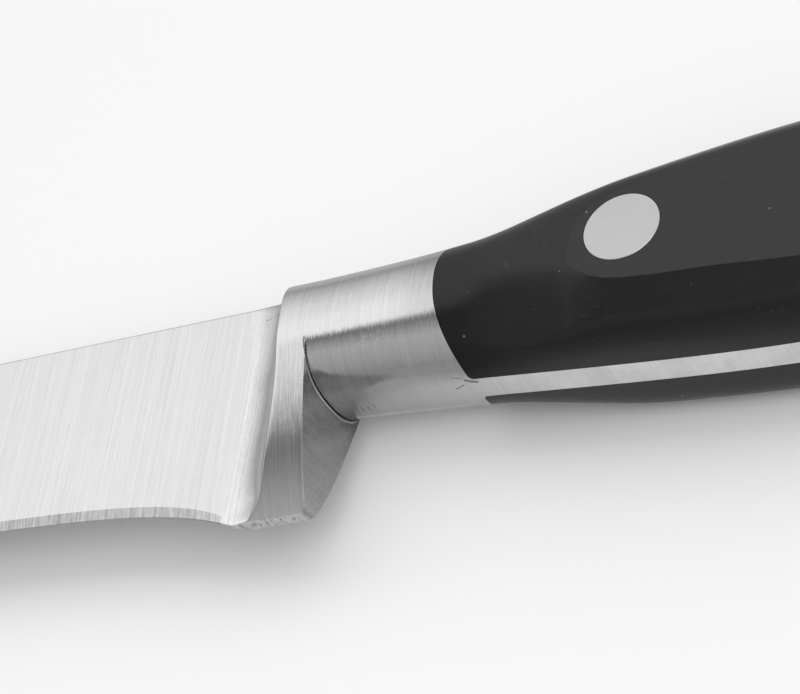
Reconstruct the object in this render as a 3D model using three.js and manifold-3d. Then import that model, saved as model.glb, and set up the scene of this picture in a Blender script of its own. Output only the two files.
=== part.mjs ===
// A ham knife lying on its right side: one forging of blade, bolster and full tang,
// two grip scales and three two-part rivets. Millimetres, +Z up.
// X runs from tip to butt, Y from edge to spine, and Z to the knife's left side.
// Along X its zero is where the scales meet the collar at the belly.

import * as THREE from 'three';
import { mergeVertices } from 'three/addons/utils/BufferGeometryUtils.js';
import Module from 'manifold-3d';

// Blade: heights and depths are from the grip's axis, lengths from the back of the heel
const bladeLength = 250;
const spineHeight = 5.72;
const edgeDepth = 14.75;
const edgeRise = 2.6;
const recurveLength = 8.2;
const tipSweep = 46;
const tipDrop = 8;
const tipLand = 0.15;
const spineThickness = 2.75;
const tipSpineThickness = 0.8;
const bevelThickness = 0.42;
const bevelHeight = 1;
const edgeLand = 0.1;

// Bolster: the collar in front of the scales, then the band whose lower end is the heel
const collarLength = 15.45;
const collarHeight = 6.3;
const collarDepth = 6.45;
const collarFrontWidth = 12.4;
const collarRearWidth = 13.7;
const bandWidth = 3.05;
const bandProud = 0.1;
const heelDepth = 18.3;
const heelFootLength = 7.75;
const heelFootWidth = 1.1;
const heelShoulderDepth = 2.5;
const heelDraft = 0.265;
const heelTaper = 4.5;
const heelCornerRadius = 1;
const heelSweepDepth = 5;
const heelSweepLength = 2.3;
const heelSweep = 1.5;
const crownSweepDepth = 1.5;
const crownSweepLength = 1.1;
const filletReach = 6.3;
const filletRootShare = 0.9;
const collarRoot = 0.3;
const bladeRoot = 0.5;

// Grip: each place along it is a reach from the collar or a setback from the butt,
// with a height or depth from the axis
const gripLength = 115;
const gripThickness = 15.4;
const flatGrind = 0.25;
const swellReach = 16;
const shoulderHeight = 6.75;
const shoulderDepth = 7.5;
const rampReach = 30;
const rampHeight = 10.6;
const crownSetback = 51;
const crownHeight = 12.4;
const backEndHeight = 11.2;
const buttHeight = 7.5;
const bellyReach = 27;
const bellyDepth = 9.5;
const waistSetback = 53;
const waistDepth = 9.7;
const beakSetback = 11;
const beakDepth = 13.6;
const buttRoundLength = 16;
const buttEndDepth = 3;
const tangThickness = 2.75;
const seatRadius = 20;
const seatApex = 2.3;
const seatAxisHeight = 1.5;

// Rivets
const rivetHeadDiameter = 7;
const rivetHeadDepth = 2.4;
const rivetBarrelDiameter = 5;
const rivetPinDiameter = 3.2;
const rivetPinEngagement = 5;
const frontRivetReach = 16.1;
const rearRivetSetback = 25;
const rivetLineHeight = 1;

// Clearances, and how near points of one solid are taken as one
const glueLine = 0.05;
const seatGap = 0.15;
const boreClearance = 0.1;
const headGap = 0.05;
const weldDistance = 1e-5;

// How square the sections are: 2 is an ellipse, 4 nearly a rounded rectangle
const collarCrownSquareness = 2.4;
const collarBellySquareness = 2.5;
const gripSquareness = 4;
const buttSquareness = 2.4;

// Facets
const gripRingPoints = 40;
const gripBodyStations = 20;
const gripButtStations = 10;
const buttTurn = 0.97 * (Math.PI / 2);
const crownPoints = 7;
const heelPoints = 13;
const filletStations = 8;
const cornerStations = 5;
const bladeStations = 40;
const bladeCrowding = 0.75;
const gripCrowding = 1.5;
const seatSegments = 40;
const rivetSegments = 28;

const forgedSteel = { color: 0xc9cbcc, roughness: 0.32, metalness: 1 };
const blackPlastic = { color: 0x1b1b1c, roughness: 0.42, metalness: 0 };
const rivetSteel = { color: 0xd2d3d4, roughness: 0.3, metalness: 1 };

const heelX = -collarLength;
const bandX = heelX - bandWidth;
const tipX = heelX - bladeLength;
const buttX = gripLength;
const halfTang = tangThickness / 2;
const halfGrip = gripThickness / 2;
const halfSwell = halfGrip + flatGrind;
const outside = gripThickness + crownHeight + beakDepth;
const { lerp, smoothstep } = THREE.MathUtils;

const wasm = await Module();
wasm.setup();

// A closed geometry as a solid that can be joined and cut, and back again
function solidOf(geometry) {
  const bare = geometry.clone();
  bare.deleteAttribute('normal');
  bare.deleteAttribute('uv');
  const merged = mergeVertices(bare, weldDistance);
  const vertProperties = new Float32Array(merged.attributes.position.array);
  const triVerts = new Uint32Array(merged.index.array);
  return new wasm.Manifold(new wasm.Mesh({ numProp: 3, vertProperties, triVerts }));
}

function geometryOf(solid) {
  const { vertProperties, triVerts } = solid.getMesh();
  const geometry = new THREE.BufferGeometry();
  geometry.setAttribute('position', new THREE.BufferAttribute(vertProperties, 3));
  geometry.setIndex(new THREE.BufferAttribute(triVerts, 1));
  geometry.computeVertexNormals();
  return geometry;
}

function named(name, geometry, look) {
  const mesh = new THREE.Mesh(geometry, new THREE.MeshStandardMaterial(look));
  mesh.name = name;
  return mesh;
}

// A closed body through rings that follow each other along +X. Each ring turns from +Y
// towards +Z, and a fan round the ring's middle closes each end.
function loft(rings) {
  const count = rings[0].length;
  const points = rings.flat();
  const faces = [];
  for (let i = 0; i < rings.length - 1; i += 1) {
    for (let j = 0; j < count; j += 1) {
      const here = i * count + j;
      const next = i * count + ((j + 1) % count);
      faces.push(here, next, here + count, next, next + count, here + count);
    }
  }
  const first = points.push(middleOf(rings.at(0))) - 1;
  const last = points.push(middleOf(rings.at(-1))) - 1;
  const end = (rings.length - 1) * count;
  for (let j = 0; j < count; j += 1) {
    const next = (j + 1) % count;
    faces.push(first, next, j, last, end + j, end + next);
  }
  const geometry = new THREE.BufferGeometry().setFromPoints(points);
  geometry.setIndex(faces);
  return geometry;
}

function middleOf(ring) {
  const sum = new THREE.Vector3();
  ring.forEach((point) => sum.add(point));
  return sum.divideScalar(ring.length);
}

// A smooth line through places given as x and height, read as a height at any x between
function lineThrough(...places) {
  const along = Float32Array.from(places, ([x]) => x);
  const heights = Float32Array.from(places, ([, height]) => height);
  const spline = new THREE.CubicInterpolant(along, heights, 1, new Float32Array(1));
  return (x) => spline.evaluate(x)[0];
}

// The cosine or sine of a superellipse
function squared(wave, squareness) {
  return Math.sign(wave) * Math.abs(wave) ** (2 / squareness);
}

function superellipseHalf(height, reach, half, squareness) {
  const up = Math.min(1, Math.abs(height / reach));
  return half * (1 - up ** squareness) ** (1 / squareness);
}

// Collar and grip in one body: side outline above and below the axis, and half the width
const backLine = lineThrough(
  [bandX, collarHeight],
  [heelX, collarHeight],
  [0, shoulderHeight],
  [rampReach, rampHeight],
  [buttX - crownSetback, crownHeight],
  [buttX - buttRoundLength, backEndHeight],
  [buttX, buttHeight],
);
const bellyLine = lineThrough(
  [bandX, -collarDepth],
  [heelX, -collarDepth],
  [0, -shoulderDepth],
  [bellyReach, -bellyDepth],
  [buttX - waistSetback, -waistDepth],
  [buttX - beakSetback, -beakDepth],
  [buttX, -beakDepth],
);
const sideLine = lineThrough(
  [bandX, collarFrontWidth / 2],
  [heelX, collarFrontWidth / 2],
  [0, collarRearWidth / 2],
  [swellReach, halfSwell],
  [buttX, halfSwell],
);

// 1 along the grip, falling to 0 where the butt rounds off
function buttRound(x, squareness) {
  const into = Math.max(0, (x - buttX) / buttRoundLength + 1);
  return Math.max(0, 1 - into ** squareness) ** (1 / squareness);
}

function gripRing(x) {
  const swell = smoothstep(x, 0, swellReach);
  const crownSquareness = lerp(collarCrownSquareness, gripSquareness, swell);
  const bellySquareness = lerp(collarBellySquareness, gripSquareness, swell);
  const round = buttRound(x, buttSquareness);
  const axis = -buttEndDepth * (1 - round);
  const top = backLine(x) * round;
  const bottom = -bellyLine(x) * round;
  const half = sideLine(x) * buttRound(x, gripSquareness);
  const ring = [];
  for (let k = 0; k < gripRingPoints; k += 1) {
    const turn = (2 * Math.PI * k) / gripRingPoints;
    const above = Math.cos(turn) > 0;
    const squareness = above ? crownSquareness : bellySquareness;
    const y = axis + squared(Math.cos(turn), squareness) * (above ? top : bottom);
    ring.push(new THREE.Vector3(x, y, half * squared(Math.sin(turn), squareness)));
  }
  return ring;
}

function gripBody() {
  const start = heelX - collarRoot;
  const buttStart = buttX - buttRoundLength;
  const rings = [];
  for (let i = 0; i <= gripBodyStations; i += 1) {
    const crowdedInFront = (i / gripBodyStations) ** gripCrowding;
    rings.push(gripRing(lerp(start, buttStart, crowdedInFront)));
  }
  for (let i = 1; i <= gripButtStations; i += 1) {
    const turn = buttTurn * (i / gripButtStations);
    rings.push(gripRing(buttStart + buttRoundLength * Math.sin(turn)));
  }
  return solidOf(loft(rings));
}

// The space behind the collar on one side of the tang, from the tang's face outwards.
// Its front is the round seat that the scale's end fits, drawn back by the given gap.
function scaleSpace(innerZ, outerZ, gap) {
  const radius = seatRadius - gap;
  const axisX = seatRadius - seatApex;
  const side = new THREE.Shape();
  side.absarc(axisX, seatAxisHeight, radius, Math.PI / 2, 1.5 * Math.PI, false);
  side.lineTo(axisX, -outside);
  side.lineTo(buttX + outside, -outside);
  side.lineTo(buttX + outside, outside);
  side.lineTo(axisX, outside);
  const depth = outerZ - innerZ;
  const block = new THREE.ExtrudeGeometry(side, { depth, bevelEnabled: false, curveSegments: seatSegments });
  return solidOf(block.translate(0, 0, innerZ));
}

// Blade: the straight edge rises a little towards the tip and sweeps down into the heel
function edgeLine(x) {
  const forward = Math.max(0, heelX - heelFootLength - x);
  const drop = (heelDepth - edgeDepth) * Math.exp(-forward / recurveLength);
  return edgeRise * (forward / bladeLength) - edgeDepth - drop;
}

function bladeRing(x) {
  const fromTip = Math.min(1, (x - tipX) / tipSweep);
  const tipY = spineHeight - tipDrop;
  const spine = lerp(tipY, spineHeight, 1 - (1 - fromTip) ** 2);
  const edge = lerp(tipY, edgeLine(x), Math.sqrt(1 - (1 - fromTip) ** 2));
  const shoulder = Math.min(edge + bevelHeight, (edge + spine) / 2);
  const back = lerp(tipSpineThickness, spineThickness, (x - tipX) / bladeLength) / 2;
  const bevel = Math.min(bevelThickness / 2, back);
  const land = edgeLand / 2;
  const leftSide = [[spine, back], [shoulder, bevel], [edge, land]];
  const rightSide = leftSide.map(([y, z]) => [y, -z]).reverse();
  return [...leftSide, ...rightSide].map(([y, z]) => new THREE.Vector3(x, y, z));
}

function bladeBody() {
  const rings = [];
  const rear = bandX + bladeRoot;
  for (let i = 0; i <= bladeStations; i += 1) {
    const share = i / bladeStations;
    const crowdedAtEnds = share - (bladeCrowding * Math.sin(2 * Math.PI * share)) / (2 * Math.PI);
    rings.push(bladeRing(lerp(tipX + tipLand, rear, crowdedAtEnds)));
  }
  return solidOf(loft(rings));
}

// Band and heel: half the width at a height. It is round with the collar down to the heel's
// shoulders, and from there its sides draw in by the draft, then faster towards the foot.
function bandHalf(y) {
  const half = collarFrontWidth / 2 + bandProud;
  if (y > 0) return superellipseHalf(y, collarHeight + bandProud, half, collarCrownSquareness);
  const depth = Math.min(-y, heelShoulderDepth);
  const shoulder = superellipseHalf(depth, collarDepth + bandProud, half, collarBellySquareness);
  const below = -y - depth;
  const reach = heelDepth - heelShoulderDepth;
  const drawnIn = shoulder - heelDraft * reach - heelFootWidth / 2;
  return shoulder - heelDraft * below - drawnIn * (below / reach) ** heelTaper;
}

// The front of the band sweeps forward on its way down to the foot, and a little up to the crown
function bandFront(y) {
  const down = Math.max(0, (y + heelSweepDepth) / (heelSweepDepth - heelDepth));
  const up = Math.max(0, (y + crownSweepDepth) / (collarHeight + crownSweepDepth));
  return bandX - heelSweepLength * down ** heelSweep - crownSweepLength * up ** 2;
}

// Half the blade's thickness where it runs into the bolster
function bladeHalf(y) {
  const up = (y + heelDepth) / (spineHeight + heelDepth);
  return lerp(bevelThickness, spineThickness, Math.min(1, Math.max(0, up))) / 2;
}

// The fillet in front of the band narrows towards the foot, as the step it fills gets lower
function filletWidth(y) {
  const step = (height) => bandHalf(height) - bladeHalf(height);
  return filletReach * (y > 0 ? 1 : step(y) / step(0));
}

// How much the rounded rear corner of the foot lifts it, across the band from 0 to 1
function cornerLift(across) {
  const x = lerp(bandFront(-heelDepth), heelX, across);
  const into = Math.max(0, x - heelX + heelCornerRadius);
  return heelCornerRadius - Math.sqrt(heelCornerRadius ** 2 - into ** 2);
}

// Heights down one side of the band: round the crown first, then straight down to the foot
function bandHeights() {
  const crown = collarHeight + bandProud;
  const heights = [];
  for (let i = 0; i < crownPoints; i += 1) {
    heights.push(crown * squared(Math.cos((Math.PI / 2) * (i / crownPoints)), collarCrownSquareness));
  }
  for (let i = 0; i <= heelPoints; i += 1) heights.push(-heelDepth * (i / heelPoints));
  return heights;
}

// The fillet starts just inside the blade, so its first ring is drawn in to the blade's height
function filletRoot(y) {
  const bandReach = y > 0 ? collarHeight + bandProud : heelDepth;
  const bladeReach = y > 0 ? spineHeight : heelDepth;
  return (bladeReach - bevelThickness) / bandReach;
}

// One ring round the bolster: out of the blade along the fillet, from 0 to 1, then across the band
function bolsterRing(fillet, across) {
  const flare = 1 - Math.sqrt(1 - fillet ** 2);
  const side = bandHeights().map((height, i) => {
    const y = height + cornerLift(across) * smoothstep(-height, collarDepth, heelDepth);
    const half = i === 0 ? 0 : lerp(bladeHalf(y) * filletRootShare, bandHalf(y), flare);
    const x = lerp(bandFront(height), heelX, across) - filletWidth(height) * (1 - fillet);
    return new THREE.Vector3(x, y * lerp(filletRoot(y), 1, flare), half);
  });
  const otherSide = side.slice(1).reverse();
  return [...side, ...otherSide.map(({ x, y, z }) => new THREE.Vector3(x, y, -z))];
}

function bolsterBody() {
  const rings = [];
  for (let i = 0; i <= filletStations; i += 1) {
    rings.push(bolsterRing(Math.sin((Math.PI / 2) * (i / filletStations)), 0));
  }
  const cornerStart = 1 - heelCornerRadius / (bandWidth + heelSweepLength);
  for (let i = 0; i <= cornerStations; i += 1) {
    const round = Math.sin((Math.PI / 2) * (i / cornerStations));
    rings.push(bolsterRing(1, lerp(cornerStart, 1, round)));
  }
  return solidOf(loft(rings));
}

// Rivets: round pieces on the Z axis, made from half a section of radius and height
function turned(...section) {
  const profile = section.map(([radius, height]) => new THREE.Vector2(radius, height));
  return new THREE.LatheGeometry(profile, rivetSegments).rotateX(Math.PI / 2);
}

function bore(diameter, lowZ, highZ) {
  const radius = diameter / 2 + boreClearance;
  return turned([0, lowZ], [radius, lowZ], [radius, highZ], [0, highZ]);
}

const headFloor = halfGrip - rivetHeadDepth;
const headRadius = rivetHeadDiameter / 2;
const barrelRadius = rivetBarrelDiameter / 2;
const pinRadius = rivetPinDiameter / 2;
const barrelEnd = headGap - headFloor;

function rivetSocket() {
  const hole = pinRadius + boreClearance;
  const holeEnd = barrelEnd + rivetPinEngagement;
  return turned(
    [0, holeEnd],
    [hole, holeEnd],
    [hole, barrelEnd],
    [barrelRadius, barrelEnd],
    [barrelRadius, headFloor],
    [headRadius, headFloor],
    [headRadius, halfGrip],
    [0, halfGrip],
  );
}

function rivetPin() {
  const pinEnd = rivetPinEngagement - headFloor;
  return turned(
    [0, -halfGrip],
    [headRadius, -halfGrip],
    [headRadius, -headFloor],
    [pinRadius, -headFloor],
    [pinRadius, pinEnd],
    [0, pinEnd],
  );
}

const rearRivetX = buttX - rearRivetSetback;
const rivetPlaces = ['front', 'middle', 'rear'].map((name, i) => {
  return { name, x: lerp(frontRivetReach, rearRivetX, i / 2), y: rivetLineHeight };
});

function withRivetBores(solid) {
  let bored = solid;
  for (const { x, y } of rivetPlaces) {
    const through = bore(rivetBarrelDiameter, -outside, outside);
    const leftHead = bore(rivetHeadDiameter, headFloor - headGap, outside);
    const rightHead = bore(rivetHeadDiameter, -outside, headGap - headFloor);
    for (const cutter of [through, leftHead, rightHead]) {
      bored = bored.subtract(solidOf(cutter.translate(x, y, 0)));
    }
  }
  return bored;
}

// The forging is the blade, the bolster and the grip's body, with room for a scale on each side
const grip = gripBody();
const forging = bladeBody()
  .add(bolsterBody())
  .add(grip)
  .subtract(scaleSpace(halfTang, outside, 0))
  .subtract(scaleSpace(-outside, -halfTang, 0));
const leftScale = grip.intersect(scaleSpace(halfTang + glueLine, halfGrip, seatGap));
const rightScale = grip.intersect(scaleSpace(-halfGrip, -halfTang - glueLine, seatGap));

const knife = new THREE.Group();
knife.add(
  named('blade_forging', geometryOf(withRivetBores(forging)), forgedSteel),
  named('left_scale', geometryOf(withRivetBores(leftScale)), blackPlastic),
  named('right_scale', geometryOf(withRivetBores(rightScale)), blackPlastic),
);
for (const { name, x, y } of rivetPlaces) {
  const rivet = new THREE.Group();
  rivet.position.set(x, y, 0);
  rivet.add(
    named(`${name}_rivet_socket`, rivetSocket(), rivetSteel),
    named(`${name}_rivet_pin`, rivetPin(), rivetSteel),
  );
  knife.add(rivet);
}

// The knife lies on its right scale, and the middle of its box is over the origin
const box = new THREE.Box3().setFromObject(knife);
const middle = box.getCenter(new THREE.Vector3());
knife.position.set(-middle.x, -middle.y, -box.min.z);

const part = new THREE.Group();
part.add(knife);
export default part;
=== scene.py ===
"""Dresses the ham knife's CAD frame: forged blade, grip scales, rivets and a pale studio."""

import math

import bmesh
import bpy
import numpy as np
from mathutils import Matrix, Vector


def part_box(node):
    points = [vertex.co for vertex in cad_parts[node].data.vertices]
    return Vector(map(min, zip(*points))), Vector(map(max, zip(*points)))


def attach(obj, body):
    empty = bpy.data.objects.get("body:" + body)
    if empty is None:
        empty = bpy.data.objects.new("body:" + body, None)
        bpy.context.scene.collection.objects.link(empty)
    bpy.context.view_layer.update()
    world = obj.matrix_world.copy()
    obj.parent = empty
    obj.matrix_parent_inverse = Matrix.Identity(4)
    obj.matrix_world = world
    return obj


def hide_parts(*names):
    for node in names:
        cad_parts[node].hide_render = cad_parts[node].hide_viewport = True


bl_info = {
    "name": "Ham Knife",
    "version": (1, 0, 0),
    "blender": (4, 5, 0),
    "location": "3D View > Sidebar > Ham Knife",
    "description": "Builds a forged ham knife with riveted grip scales around its CAD frame",
    "category": "Add Mesh",
}

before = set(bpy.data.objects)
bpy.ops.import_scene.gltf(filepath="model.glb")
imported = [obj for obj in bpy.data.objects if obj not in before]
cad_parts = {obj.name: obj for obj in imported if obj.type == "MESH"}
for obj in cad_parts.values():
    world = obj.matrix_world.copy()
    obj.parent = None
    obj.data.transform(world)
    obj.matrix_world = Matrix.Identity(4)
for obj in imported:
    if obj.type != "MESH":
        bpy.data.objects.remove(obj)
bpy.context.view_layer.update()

MM = 0.001
QUARTER = math.pi / 2

# Rows down one side of the forging: spine strip, crown, round side down to the heel's shoulder,
# straight side, edge bevel and foot
STRIP_ROWS = 4
CROWN_ROWS = 18
ROUND_ROWS = 10
SIDE_ROWS = 24
BEVEL_ROWS = 5
FOOT_ROWS = 3
CROWN_END = STRIP_ROWS + CROWN_ROWS
SHOULDER = CROWN_END + ROUND_ROWS
SIDE_END = SHOULDER + SIDE_ROWS
BEVEL_END = SIDE_END + BEVEL_ROWS
LAST_ROW = BEVEL_END + FOOT_ROWS

# Painted shade in the groove round the collar: how dark it makes each zone, and the rows below the shoulder
# where it starts
GROOVE_PAINTED_SHADE = {"nook": 0.25, "lip": 0.2, "groove": 0.75}
GROOVE_SHADE_ROW = {"nook": 2, "lip": 10, "groove": 2}
# Painted shade in the slit where heel and collar part, down to a depth below the axis in each zone
SLIT_START = 4.6 * MM
SLIT_END = {"wall": 11 * MM, "nook": 9 * MM, "lip": 5.6 * MM, "groove": 6.2 * MM}

# Rows round one scale: back rounding, flat and belly rounding
BACK_ROWS = 20
FLAT_ROWS = 14
BELLY_ROWS = 22

# Stations along each stretch of the forging and the scales
BLADE_STATIONS = 90
RUN_STATIONS = 13
FILLET_STATIONS = 19
EASE_STATIONS = 6
BAND_STATIONS = 15
WALL_STATIONS = 13
COLLAR_STATIONS = 25
TANG_STATIONS = 11
SCALE_STATIONS = 31
GRIP_STATIONS = 61
BUTT_STATIONS = 23
CIRCLE_POINTS = 96
# Passes in which a ring that follows its own heights settles
RING_PASSES = 8
# How much closer the blade's stations lie at its ends, and the collar's at the heel
BLADE_CROWDING = 0.75
COLLAR_CROWDING = 1.4
# The last station at the butt, as a share of its quarter turn
BUTT_TURN = 0.97
# Distance before the fillet from which stations bend with it, and places on tang and scale from
# which they stand straight again
RUN_LENGTH = 6 * MM
TANG_SETTLED = 8 * MM
SCALE_SETTLED = 12 * MM
# Lip and groove round the collar: place across their width, and share of their height or depth
LIP_PROFILE = ((0.85, 0.5), (0.7, 0.9), (0.55, 1.0), (0.45, 0.7))
GROOVE_PROFILE = ((0.4, 0.1), (0.37, 0.4), (0.3, 0.8), (0.2, 1.0), (0.07, 0.95), (0.0, 0.5))
LIP_GAP = (0.6 * MM, 1.6 * MM)
NOOK_SHARE = 0.8
# Places along the fillet between seat and tang, as shares of its radius
TANG_FILLET_PROFILE = (0.04, 0.12, 0.25, 0.45, 0.7, 1.0)
# Blade rows level with the band's widest place and with the heel's shoulder, as shares of its height
BLADE_MIDDLE = 0.27
BLADE_SHOULDER = 0.2
# How far behind the foot's front the edge bevel starts
BEVEL_LEAD = 1 * MM
# Eased corner of the spine, in shares of its ease, which is at most a share of the blade's height
SPINE_EASE_SHARE = 0.05
SPINE_CORNER = 0.3
SPINE_UNDER = 1.1
SPINE_ROW_GAP = 0.02
# The face below a scale's flat: shares of the crease's start and of the butt's round over which it changes
CREASE_SHARPENS = 0.6
BUTT_FADE = 0.6
# Share of a step or gap that an eased edge or the groove may take up
BAND_EASE_SHARE = 0.35
HEEL_EASE_SHARE = 0.4
GROOVE_SHARE = 0.45
# Edges bent by more than these angles stay crisp, and so do ground creases above the lesser ones
CRISP_FORGING = math.radians(32)
CRISP_SCALE = math.radians(38)
CRISP_RIVET = math.radians(30)
CRISP_BEVEL = 0.02
CRISP_FLAT = 0.03
WELD = 2e-8
SAME_LEVEL = 1e-7
TINY = 1e-9


def length(name, description, default):
    """A length property in metres, given in millimetres."""
    return bpy.props.FloatProperty(
        name=name, description=description, default=default * MM,
        min=0.0, unit="LENGTH", subtype="DISTANCE", precision=5,
    )


def number(name, description, default, low=0.0, high=10.0):
    return bpy.props.FloatProperty(
        name=name, description=description, default=default, min=low, max=high, precision=3,
    )


def colour(name, description, default):
    return bpy.props.FloatVectorProperty(
        name=name, description=description, default=default, size=3,
        min=0.0, max=1.0, subtype="COLOR",
    )


class BladeSizes(bpy.types.PropertyGroup):
    """The blade, from the back of the heel to the tip"""
    reach: length("Length", "From the back of the heel to the tip", 250)
    spine_height: length("Spine height", "Spine above the grip's axis", 5.72)
    spine_thickness: length("Spine thickness", "Across the spine at the bolster", 2.75)
    spine_ease: length("Spine ease", "Rounding along the spine's corners", 0.12)
    tip_thickness: length("Tip thickness", "Across the spine at the tip", 0.8)
    edge_depth: length("Edge depth", "Edge below the grip's axis", 14.75)
    edge_rise: length("Edge rise", "How much the edge rises from heel to tip", 2.6)
    recurve: length("Recurve", "Length over which the edge sweeps down to the heel", 8.2)
    tip_sweep: length("Tip sweep", "Length over which spine and edge meet", 46)
    tip_drop: length("Tip drop", "Tip below the spine", 8)
    tip_land: length("Tip land", "Length of the blunt end at the tip", 0.15)
    bevel_height: length("Bevel height", "Height of the ground edge bevel", 1.0)
    bevel_thickness: length("Bevel thickness", "Blade's thickness at the top of the bevel", 0.5)
    bevel_runout: length("Bevel run-out", "Length over which the bevel narrows at the heel", 2.5)
    edge_land: length("Edge land", "Width of the edge itself", 0.08)


class BolsterSizes(bpy.types.PropertyGroup):
    """The bolster: collar, band, heel and the fillet into the blade"""
    collar_length: length("Collar length", "From the heel's back to the scales at the belly", 15.45)
    collar_height: length("Collar height", "Collar above the grip's axis", 6.3)
    collar_depth: length("Collar depth", "Collar below the grip's axis", 6.45)
    front_width: length("Front width", "Across the collar at the heel", 12.4)
    rear_width: length("Rear width", "Across the collar at the scales", 13.7)
    crown_squareness: number("Crown squareness", "2 is an ellipse, more is squarer", 2.4)
    belly_squareness: number("Belly squareness", "2 is an ellipse, more is squarer", 2.5)
    rear_squareness: number("Rear squareness", "Of the belly at the scales", 2.3)
    band_width: length("Band width", "Along the knife, in front of the collar", 3.05)
    band_ease: length("Band ease", "Rounding of the band's front edge", 0.1)
    heel_depth: length("Heel depth", "Foot of the heel below the grip's axis", 18.3)
    foot_length: length("Foot length", "Along the foot of the heel", 7.75)
    foot_width: length("Foot width", "Across the foot of the heel", 1.35)
    shoulder_depth: length("Shoulder depth", "Where the heel's sides leave the collar's round", 2.5)
    heel_draft: number("Heel draft", "How much the sides draw in below the shoulder", 0.265)
    heel_taper: number("Heel taper", "How late the sides close in on the foot", 4.5)
    heel_corner: length("Heel corner", "Radius of the heel's rear lower corner", 1.0)
    heel_ease: length("Heel ease", "Rounding of the heel's rear edges", 0.02)
    sweep_depth: length("Sweep depth", "Where the band's front starts to sweep forward", 5)
    sweep_length: length("Sweep length", "How far the band's front sweeps forward", 2.0)
    toe_length: length("Toe length", "How far the foot reaches on in front of the band", 1.2)
    toe_depth: length("Toe depth", "Height over which the foot reaches on", 2)
    sweep: number("Sweep", "How sharply the band's front sweeps forward", 1.5)
    crown_sweep_depth: length("Crown sweep depth", "Where the band's front starts to lean, above", 1.5)
    crown_sweep_length: length("Crown sweep length", "How far the band's crown leans forward", 1.1)
    fillet_reach: length("Fillet reach", "Of the fillet between blade and band", 6.3)
    fillet_hold: number("Fillet hold", "Below 1 the fillet stays wide towards the foot", 0.28)
    fillet_bend: number("Fillet bend", "How its bend lessens as the step grows less", 0.15)
    groove_width: length("Groove width", "Of the groove between heel and collar, with its lip", 0.3)
    groove_depth: length("Groove depth", "Of the groove between heel and collar", 0.1)
    lip: length("Lip", "Height of the lip along the groove", 0.09)


class GripSizes(bpy.types.PropertyGroup):
    """Tang and scales behind the collar"""
    reach: length("Length", "From the collar to the butt", 115)
    thickness: length("Thickness", "Over the flats of both scales", 15.4)
    flat_grind: length("Flat grind", "How much is ground off each side to make its flat", 0.25)
    swell_reach: length("Swell reach", "Where the grip is full width", 16)
    squareness: number("Squareness", "2 is an ellipse, 4 nearly a rounded rectangle", 4.0)
    belly_lean: number("Belly lean", "Slope of the face between flat and belly", 0.42)
    belly_soft: length("Belly soft", "Rounding where that face runs into the belly", 0.5)
    crease_soft: length("Crease soft", "Rounding of the crease above that face at the collar", 0.7)
    crease_start: length("Crease start", "Place from which the crease is sharp", 14)
    lean_start: length("Lean start", "Length over which the face grows out of the collar", 4.5)
    shoulder_height: length("Shoulder height", "Back of the grip at the collar", 6.75)
    shoulder_depth: length("Shoulder depth", "Belly of the grip at the collar", 7.5)
    ramp_reach: length("Ramp reach", "Place where the back levels out", 30)
    ramp_height: length("Ramp height", "Back where it levels out", 10.6)
    crown_setback: length("Crown setback", "Highest place, from the butt", 51)
    crown_height: length("Crown height", "Highest place above the axis", 12.4)
    back_end_height: length("Back end height", "Back where the butt starts to round", 11.2)
    butt_height: length("Butt height", "Where the back would end without its rounding", 7.5)
    belly_reach: length("Belly reach", "Place of the forward belly", 27)
    belly_depth: length("Belly depth", "Forward belly below the axis", 9.5)
    waist_setback: length("Waist setback", "Place of the waist, from the butt", 53)
    waist_depth: length("Waist depth", "Waist below the axis", 9.7)
    beak_setback: length("Beak setback", "Place of the beak, from the butt", 11)
    beak_depth: length("Beak depth", "Beak below the axis", 13.6)
    butt_round: length("Butt round", "Length over which the butt rounds off", 16)
    butt_squareness: number("Butt squareness", "Of the butt seen from the side", 2.4)
    butt_end_depth: length("Butt end depth", "Middle of the butt's end below the axis", 3)
    tang_thickness: length("Tang thickness", "Of the tang between the scales", 2.75)
    tang_fillet: length("Tang fillet", "Radius where the tang meets the seat", 0.45)
    seat_radius: length("Seat radius", "Of the round seat of the scales", 20)
    seat_apex: length("Seat apex", "Foremost place of the seat", 2.3)
    seat_axis_height: length("Seat axis height", "Of the seat's axis", 1.5)
    seat_gap: length("Seat gap", "Between scale and seat", 0.03)
    glue_line: length("Glue line", "Between scale and tang", 0.02)
    front_ease: length("Front ease", "Rounding of the scale's front edge", 0.08)


class RivetSizes(bpy.types.PropertyGroup):
    """The two-part rivets"""
    count: bpy.props.IntProperty(name="Count", description="Rivets in the row", default=3, min=2)
    front_reach: length("Front reach", "First rivet behind the collar", 16.1)
    rear_setback: length("Rear setback", "Last rivet from the butt", 25)
    line_height: length("Line height", "Of the rivets above the axis", 1)
    head_diameter: length("Head diameter", "Of both heads", 7)
    head_depth: length("Head depth", "Of both heads", 2.4)
    head_ease: length("Head ease", "Chamfer round a head", 0.05)
    barrel_diameter: length("Barrel diameter", "Of the socket half", 5)
    pin_diameter: length("Pin diameter", "Of the pin half", 3.2)
    pin_engagement: length("Pin engagement", "Length of the pin in the socket", 5)
    bore_clearance: length("Bore clearance", "Round heads and barrels", 0.015)


class Finishes(bpy.types.PropertyGroup):
    """Colours of steel and plastic"""
    steel: colour("Steel", "Satin forged steel", (0.64, 0.64, 0.64))
    steel_roughness: number("Steel roughness", "Of the forging", 0.15)
    rivet_steel: colour("Rivet steel", "Satin rivet heads", (0.515, 0.515, 0.515))
    rivet_roughness: number("Rivet roughness", "Of the rivet heads", 0.28)
    plastic: colour("Plastic", "Black grip plastic", (0.0097, 0.0097, 0.0097))
    plastic_roughness: number("Plastic roughness", "Of the scales", 0.3)
    ground_share: number("Ground share", "How much paler the ground flats are", 1.0)


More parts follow.
